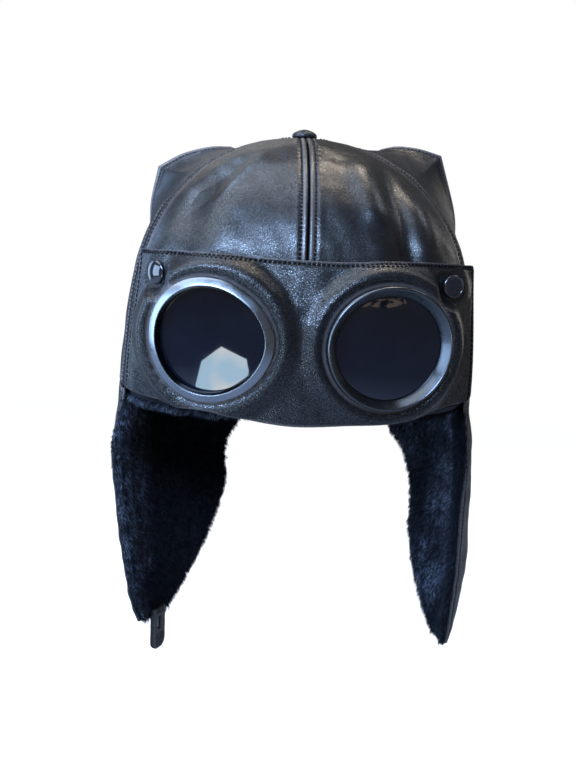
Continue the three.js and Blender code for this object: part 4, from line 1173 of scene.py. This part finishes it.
class HAT_OT_flap_plush(bpy.types.Operator):
    """Covers the inside of both ear flaps with short plush"""
    bl_idname = "hat.flap_plush"
    bl_label = "Flap plush"

    def execute(self, context):
        total_hairs, pile = plush_sizes(1)
        for side in SIDES:
            rng = np.random.default_rng(PLUSH_SEEDS[side])
            grid, normals, rows, at, from_rear = flap_grid(side, FLAP_FUR_TOP, 3.5)
            from_low = (rows - FLAPS[side]["z"][-1])[:, None] + 0 * at
            near = np.minimum(np.minimum(at, from_rear), from_low)
            depth = 1.0 + 4.4 * smooth(near / 8)
            behind = (LEATHER + CLEAR + depth)[..., None]
            skin = wall(grid - normals * (LEATHER + CLEAR), grid - normals * behind)
            ahead = unit(np.gradient(grid, axis=1))
            cell = np.linalg.norm(np.cross(grid[1:, :-1] - grid[:-1, :-1], grid[:-1, 1:] - grid[:-1, :-1]), axis=2)
            parts = []
            for share, edge_only in ((FACE_SHARE, False), (CURL_SHARE, True)):
                count = int(total_hairs * share)
                value = drawn_from(rng, count, cell * (near[:-1, :-1] < 2.5) if edge_only else cell)
                roots, out = value(grid), unit(value(normals))
                front, rear, low = (value(v)[:, 0] for v in (at, from_rear, from_low))
                close = np.minimum(np.minimum(front, rear), low)
                over = hump(front, 0, 5)[:, None] * -value(ahead) + hump(rear, 0, 5)[:, None] * value(ahead)
                over = over - vec(0, 0, hump(low, 0, 6))
                clump = vec(ripple(roots, 7, 51), ripple(roots, 6, 52), 0.6 * ripple(roots, 8, 53))
                stray = rng.normal(0, 0.12, (count, 3))
                if edge_only:
                    way = unit(over * 0.9 + out * rng.uniform(-0.6, 0.25, (count, 1)) + vec(0, 0, -0.45) + stray)
                    reach = np.where(front < rear, 3.8 + 2.2 * smooth((roots[:, 2] + 195) / 35), 2.4)
                    # The left flap's tip is blunt: shorter hairs at its corner and a tuft beside it
                    if side == "left":
                        corner = smooth((-292 - roots[:, 2]) / 14) * hump(front, 0, 6)
                        tuft = smooth((front - 12) / 8) * (1 - smooth((front - 38) / 10))
                        reach = reach - 2.0 * corner + 8.0 * hump(low, 0, 6) * tuft
                        way = unit(way + (out + vec(0, 0, 0.25)) * (0.8 * corner)[:, None])
                    length = reach * rng.uniform(0.65, 1.0, count)
                    # Along the front edge they root on the leather's outer face too, and wrap round it
                    wrapped = -0.5 if side == "left" else 0.4
                    least = lerp(LEATHER, wrapped, smooth((roots[:, 2:] + 215) / 20) * (front < rear)[:, None])
                    roots = roots - out * lerp(least, LEATHER + CLEAR + 2.5, rng.random((count, 1)))
                else:
                    way = unit(-out * 0.9 + vec(0, 0, -0.4) + over * 0.45 + clump * 0.45 + stray)
                    length = (pile - value(depth)[:, 0] * 0.85) * (0.6 + 0.4 * smooth(close / 6))
                    length *= rng.uniform(0.75, 1.0, count)
                    roots = roots - out * (LEATHER + CLEAR + value(depth) - 0.6)
                lean = vec(0, 0, -0.7) + clump * 0.6 + rng.normal(0, 0.2, (count, 3))
                # Painted light: hairs are painted pale in a lit band along the left flap's front edge, fading towards
                # its tip, and across the right flap's middle with a painted shaded valley, in uneven patches
                patch = smooth(0.65 + 0.9 * ripple(roots, 34, 54))
                if side == "left":
                    painted_light = smooth((62 + 0.25 * (roots[:, 2] + 200) - front) / 24) * lerp(0.45, 1.0, patch)
                    painted_light *= lerp(1, 0.3, smooth((-268 - roots[:, 2]) / 20))
                else:
                    painted_light = smooth((front - 36) / 12) * (1 - 0.85 * hump(front, 87, 7)) * lerp(0.3, 1.0, patch)
                    painted_light *= 1 - 0.5 * smooth((front - 90) / 6)
                parts.append(hairs(roots, way, lean, length, rng, painted_light))
            plush_object(f"flap_plush_{side}", skin, parts, f"flap_fur_{side}")
        return {"FINISHED"}


class HAT_OT_rim_plush(bpy.types.Operator):
    """Lines the inside of the rim with short plush"""
    bl_idname = "hat.rim_plush"
    bl_label = "Rim plush"

    def execute(self, context):
        count, pile = plush_sizes(0.9)
        rng = np.random.default_rng(PLUSH_SEEDS["rim"])
        v = np.linspace(0, 1, RIM_STEPS)[:-1]
        orders = (("left", ("front", "side", "back")), ("right", ("back", "side", "front")))

        def around(s):
            loop = [crown_point(side, panel, np.full(len(v), s), v if side == "left" else 1 - v)
                    for side, panels in orders for panel in panels]
            return np.concatenate([*loop, loop[0][:1]])

        grid = np.stack([around(s) for s in (0.9, 0.45, 0.0)])
        inward = unit((vec(0, 5, 0) - grid[-1]) * np.array([1, 1, 0]))
        back = grid + inward * (LEATHER + 0.6)
        low = back[-1] + inward * 2.4
        low[:, 2] = RIM_FUR_BOTTOM + 1.0
        back = np.concatenate([back, low[None]])
        face = back + inward * np.array([1.2, 4.0, 5.0, 2.6])[:, None, None]
        skin = wall(back, face)
        # Roots thicken towards the lower edge, and hang lower in front of the flap on the photo's left
        pick = rng.integers(0, grid.shape[1] - 1, count)
        t = rng.random((count, 1))
        level = 3 * rng.uniform(0, 1, (count, 1)) ** 0.45
        band = np.minimum(level.astype(int), 2)[:, 0]
        upper, lower = (lerp(face[row, pick], face[row, pick + 1], t) for row in (band, band + 1))
        roots = lerp(upper, lower, level - band[:, None])
        into = unit(lerp(inward[pick], inward[pick + 1], t))
        edge = smooth((level - 1.7) / 1.2)
        shown = edge[:, 0] * smooth((-roots[:, 0] - 28) / 14) * smooth((-roots[:, 1] - 15) / 30)
        clump = vec(ripple(roots, 7, 61), ripple(roots, 6, 62), 0.5 * ripple(roots, 8, 63))
        way = into * lerp(0.8, 0.1, edge) - into * shown[:, None] * 0.75 + vec(0, 0, -0.7)
        way = unit(way + clump * 0.35 + rng.normal(0, 0.14, (count, 3)))
        lean = vec(0, 0, -0.6) + clump * 0.5 + rng.normal(0, 0.2, (count, 3))
        length = pile * (0.45 + 0.12 * edge[:, 0] + 0.16 * shown) * rng.uniform(0.7, 1.0, count)
        roots = roots - into * 0.6
        # Painted light: the hairs that hang out in front at the hat's left are painted pale as a lit band
        plush_object("rim_plush", skin, [hairs(roots, way, lean, length, rng, 0.75 * shown)], "rim_fur")
        return {"FINISHED"}


# Strap tab
def mid(grid):
    """Values at the middles of a grid's cells."""
    return (grid[:-1, :-1] + grid[1:, :-1] + grid[:-1, 1:] + grid[1:, 1:]) / 4


class HAT_OT_strap_tab(bpy.types.Operator):
    """Makes the slotted strap end at the tip of the left flap"""
    bl_idname = "hat.strap_tab"
    bl_label = "Strap tab"

    def execute(self, context):
        half, length, thick = TAB["width"] / 2, TAB["length"], TAB["thick"]
        slit, high, low = TAB["slot"]
        xs = np.concatenate([np.linspace(-half, -slit, 13), np.linspace(-slit, slit, 5)[1:-1],
                             np.linspace(slit, half, 13)])
        zs = np.concatenate([np.linspace(0, high, 9), np.linspace(high, low, 9)[1:-1], np.linspace(low, length, 20)])
        x, down = np.meshgrid(xs, zs)
        tuck = np.sqrt(np.clip(1 - np.clip((down - (length - 6)) / 6, 0, 1) ** 2 * 0.97, 0, 1))
        flat = vec(x * tuck, 0, -down)
        edge = np.minimum(half * tuck - np.abs(flat[..., 0]), length - down)
        slot = np.maximum(np.abs(x) - slit, np.maximum(high - down, down - low))
        edge = np.maximum(np.minimum(edge, np.where(slot > -0.01, slot, 9)), 0)
        normals = np.broadcast_to(np.array([0.0, -1.0, 0.0]), flat.shape)
        face = flat + normals * (thick / 2 + 0.12 * ripple(flat, 9, 71)[..., None])
        outer, inner = fattened(face, normals, edge, thick)
        keep = ~((np.abs(mid(x)) < slit) & (mid(down) > high) & (mid(down) < low))
        points, faces, used = wall(outer, inner, keep)
        points = turned(points, TAB["turn"]) + np.array(TAB["top"])
        values = twice(used, seam=edge + 0.6, stitch=0 * edge + NO_STITCH, beat=0 * edge)
        mesh_object("strap_tab_leather", (points, faces), "tab_leather", values, "strap_tab")
        return {"FINISHED"}


# Studio
# The camera as fitted to the photo: millimetres, radians, and a focal length in the photo's pixels
CAMERA = {"place": (-26.0, -570.0, -55.0), "yaw": 0.040, "pitch": 0.166, "roll": 0.046, "focal_px": 900.0}
PHOTO_HEIGHT = 768
SENSOR = 36.0
FLOOR_RADIUS, FLOOR_SIDES, FLOOR_BELOW = 1.3, 96, 0.03
LIGHTS = (
    # name, direction from the hat, distance, width and height in metres, brightness, colour, seen in gloss
    ("sky_left", (-0.42, -0.10, 0.90), 1.15, 0.90, 1.25, 3.6, (0.72, 0.83, 1.0), True),
    ("high_left", (-0.38, 0.34, 0.86), 1.10, 0.34, 0.24, 8.0, (0.48, 0.69, 1.0), True),
    ("front_left", (-0.30, -0.78, 0.53), 1.10, 0.62, 0.34, 30.0, (0.44, 0.64, 1.0), True),
    ("back_high", (-0.22, 0.80, 0.56), 1.15, 0.60, 0.35, 0.8, (1.0, 0.98, 0.95), True),
    ("lamp_right", (0.20, 0.30, 0.93), 0.95, 0.24, 0.22, 11.5, (1.0, 0.88, 0.74), True),
    ("sky_right", (0.62, 0.18, 0.76), 1.10, 0.30, 0.30, 3.4, (0.80, 0.88, 1.0), True),
    ("side_right", (0.97, -0.10, 0.05), 1.10, 0.70, 0.50, 0.3, (1.0, 0.98, 0.96), True),
    ("back_right", (0.70, 0.70, 0.12), 1.10, 0.30, 0.50, 1.2, (1.0, 0.97, 0.94), True),
    ("window_left", (-0.91, -0.40, 0.12), 1.15, 0.70, 0.80, 7.0, (0.46, 0.67, 1.0), True),
    ("back_left", (-0.86, 0.51, 0.12), 1.10, 0.42, 1.00, 3.2, (0.44, 0.64, 1.0), True),
    ("plush_fill", (-0.70, -0.70, -0.02), 1.10, 0.60, 0.60, 9.5, (0.56, 0.74, 1.0), False),
)
# Bright shapes that only the lenses and other glossy pieces mirror, in metres
CARDS = {
    "window": [(-0.266, -0.661, -0.202), (-0.187, -0.680, -0.243), (-0.170, -0.672, -0.300),
               (-0.250, -0.628, -0.365), (-0.335, -0.600, -0.350), (-0.321, -0.630, -0.250)],
    "warm_room": [(0.300, -0.848, -0.034), (0.322, -0.838, 0.010), (0.392, -0.806, -0.004),
                  (0.452, -0.777, 0.012), (0.466, -0.770, -0.030), (0.400, -0.802, -0.046)],
}
LIT = (0.0, 0.0, -0.11)  # What the lights face, in metres
WATTS_PER_BRIGHTNESS = math.pi


def stage_sheet(name, outline, look):
    """A flat face of the stage."""
    me = bpy.data.meshes.new(name)
    me.from_pydata(outline, [], [tuple(range(len(outline)))])
    me.materials.append(material(look))
    obj = added(name, me)
    return obj


class HAT_OT_stage(bpy.types.Operator):
    """Adds the pale floor, the soft lights, the mirrored cards and the camera"""
    bl_idname = "hat.stage"
    bl_label = "Studio"

    def execute(self, context):
        scene = context.scene
        turns = np.linspace(0, 2 * math.pi, FLOOR_SIDES, endpoint=False)
        ring = [(FLOOR_RADIUS * math.cos(a), FLOOR_RADIUS * math.sin(a), 0) for a in turns]
        stage_sheet("floor", ring, "pale_floor").location = (0, 0, float(CAD_BOX[0][2]) - FLOOR_BELOW)
        for name, way, distance, width, height, brightness, colour, glossy in LIGHTS:
            light = bpy.data.lights.new(name, "AREA")
            light.shape, light.size, light.size_y = "RECTANGLE", width, height
            light.energy, light.color = brightness * width * height * WATTS_PER_BRIGHTNESS, colour
            lamp = added(name, light)
            way = Vector(way).normalized()
            lamp.location = Vector(LIT) + way * distance
            lamp.rotation_euler = (-way).to_track_quat("-Z", "Y").to_euler()
            lamp.visible_camera, lamp.visible_glossy = False, glossy
        for name, outline in CARDS.items():
            card = stage_sheet(f"{name}_card", outline, name)
            card.visible_camera = card.visible_diffuse = card.visible_shadow = False
        world = bpy.data.worlds.new("studio")
        world.use_nodes = True
        tree = world.node_tree
        room = tree.nodes["Background"]
        room.inputs["Color"].default_value = (1.0, 0.97, 0.93, 1.0)
        room.inputs["Strength"].default_value = 0.12
        paper = node_output(tree, "Background", 0, {"Color": (1.0, 1.0, 1.0, 1.0)})
        seen = node_output(tree, "LightPath", "Is Camera Ray")
        both = node_output(tree, "MixShader", 0, {0: seen, 1: room.outputs[0], 2: paper})
        tree.links.new(both, tree.nodes["World Output"].inputs["Surface"])
        scene.world = world
        scene.view_settings.view_transform = "Standard"
        yaw, pitch, roll = CAMERA["yaw"], CAMERA["pitch"], CAMERA["roll"]
        ahead = Vector((math.sin(yaw) * math.cos(pitch), math.cos(yaw) * math.cos(pitch), -math.sin(pitch)))
        right = ahead.cross(Vector((0, 0, 1))).normalized()
        up = right.cross(ahead)
        x = right * math.cos(roll) + up * math.sin(roll)
        y = up * math.cos(roll) - right * math.sin(roll)
        turn = Matrix((x, y, -ahead)).transposed().to_4x4()
        lens = bpy.data.cameras.new("camera")
        lens.sensor_fit, lens.sensor_width, lens.sensor_height = "VERTICAL", SENSOR, SENSOR
        lens.lens = CAMERA["focal_px"] / PHOTO_HEIGHT * SENSOR
        lens.clip_start = 0.02
        scene.camera = added("camera", lens)
        scene.camera.matrix_world = Matrix.Translation(Vector(CAMERA["place"]) * MM) @ turn
        return {"FINISHED"}


class HAT_PT_pieces(bpy.types.Panel):
    """Lists the hat's pieces and settings"""
    bl_idname = "HAT_PT_pieces"
    bl_label = "Aviator Hat"
    bl_space_type = "VIEW_3D"
    bl_region_type = "UI"
    bl_category = "Hat"

    def draw(self, context):
        layout = self.layout
        for group in (context.scene.hat_sizes, context.scene.hat_colours):
            box = layout.box()
            for key in group.bl_rna.properties.keys():
                if key not in ("name", "rna_type"):
                    box.prop(group, key)
        for operator in OPERATORS:
            layout.operator(operator.bl_idname)


OPERATORS = (HAT_OT_stage, HAT_OT_crown, HAT_OT_button, HAT_OT_goggle_panel, HAT_OT_goggles, HAT_OT_snaps,
             HAT_OT_flaps, HAT_OT_flap_plush, HAT_OT_rim_plush, HAT_OT_strap_tab)
CLASSES = (HatSizes, HatColours, *OPERATORS, HAT_PT_pieces)


def register():
    for cls in CLASSES:
        bpy.utils.register_class(cls)
    bpy.types.Scene.hat_sizes = bpy.props.PointerProperty(type=HatSizes)
    bpy.types.Scene.hat_colours = bpy.props.PointerProperty(type=HatColours)


def unregister():
    del bpy.types.Scene.hat_colours
    del bpy.types.Scene.hat_sizes
    for cls in reversed(CLASSES):
        bpy.utils.unregister_class(cls)


def main():
    register()
    bpy.ops.hat.stage()
    bpy.ops.hat.crown()
    bpy.ops.hat.button()
    bpy.ops.hat.goggle_panel()
    bpy.ops.hat.goggles()
    bpy.ops.hat.snaps()
    bpy.ops.hat.flaps()
    bpy.ops.hat.flap_plush()
    bpy.ops.hat.rim_plush()
    bpy.ops.hat.strap_tab()


if __name__ == "__main__":
    main()
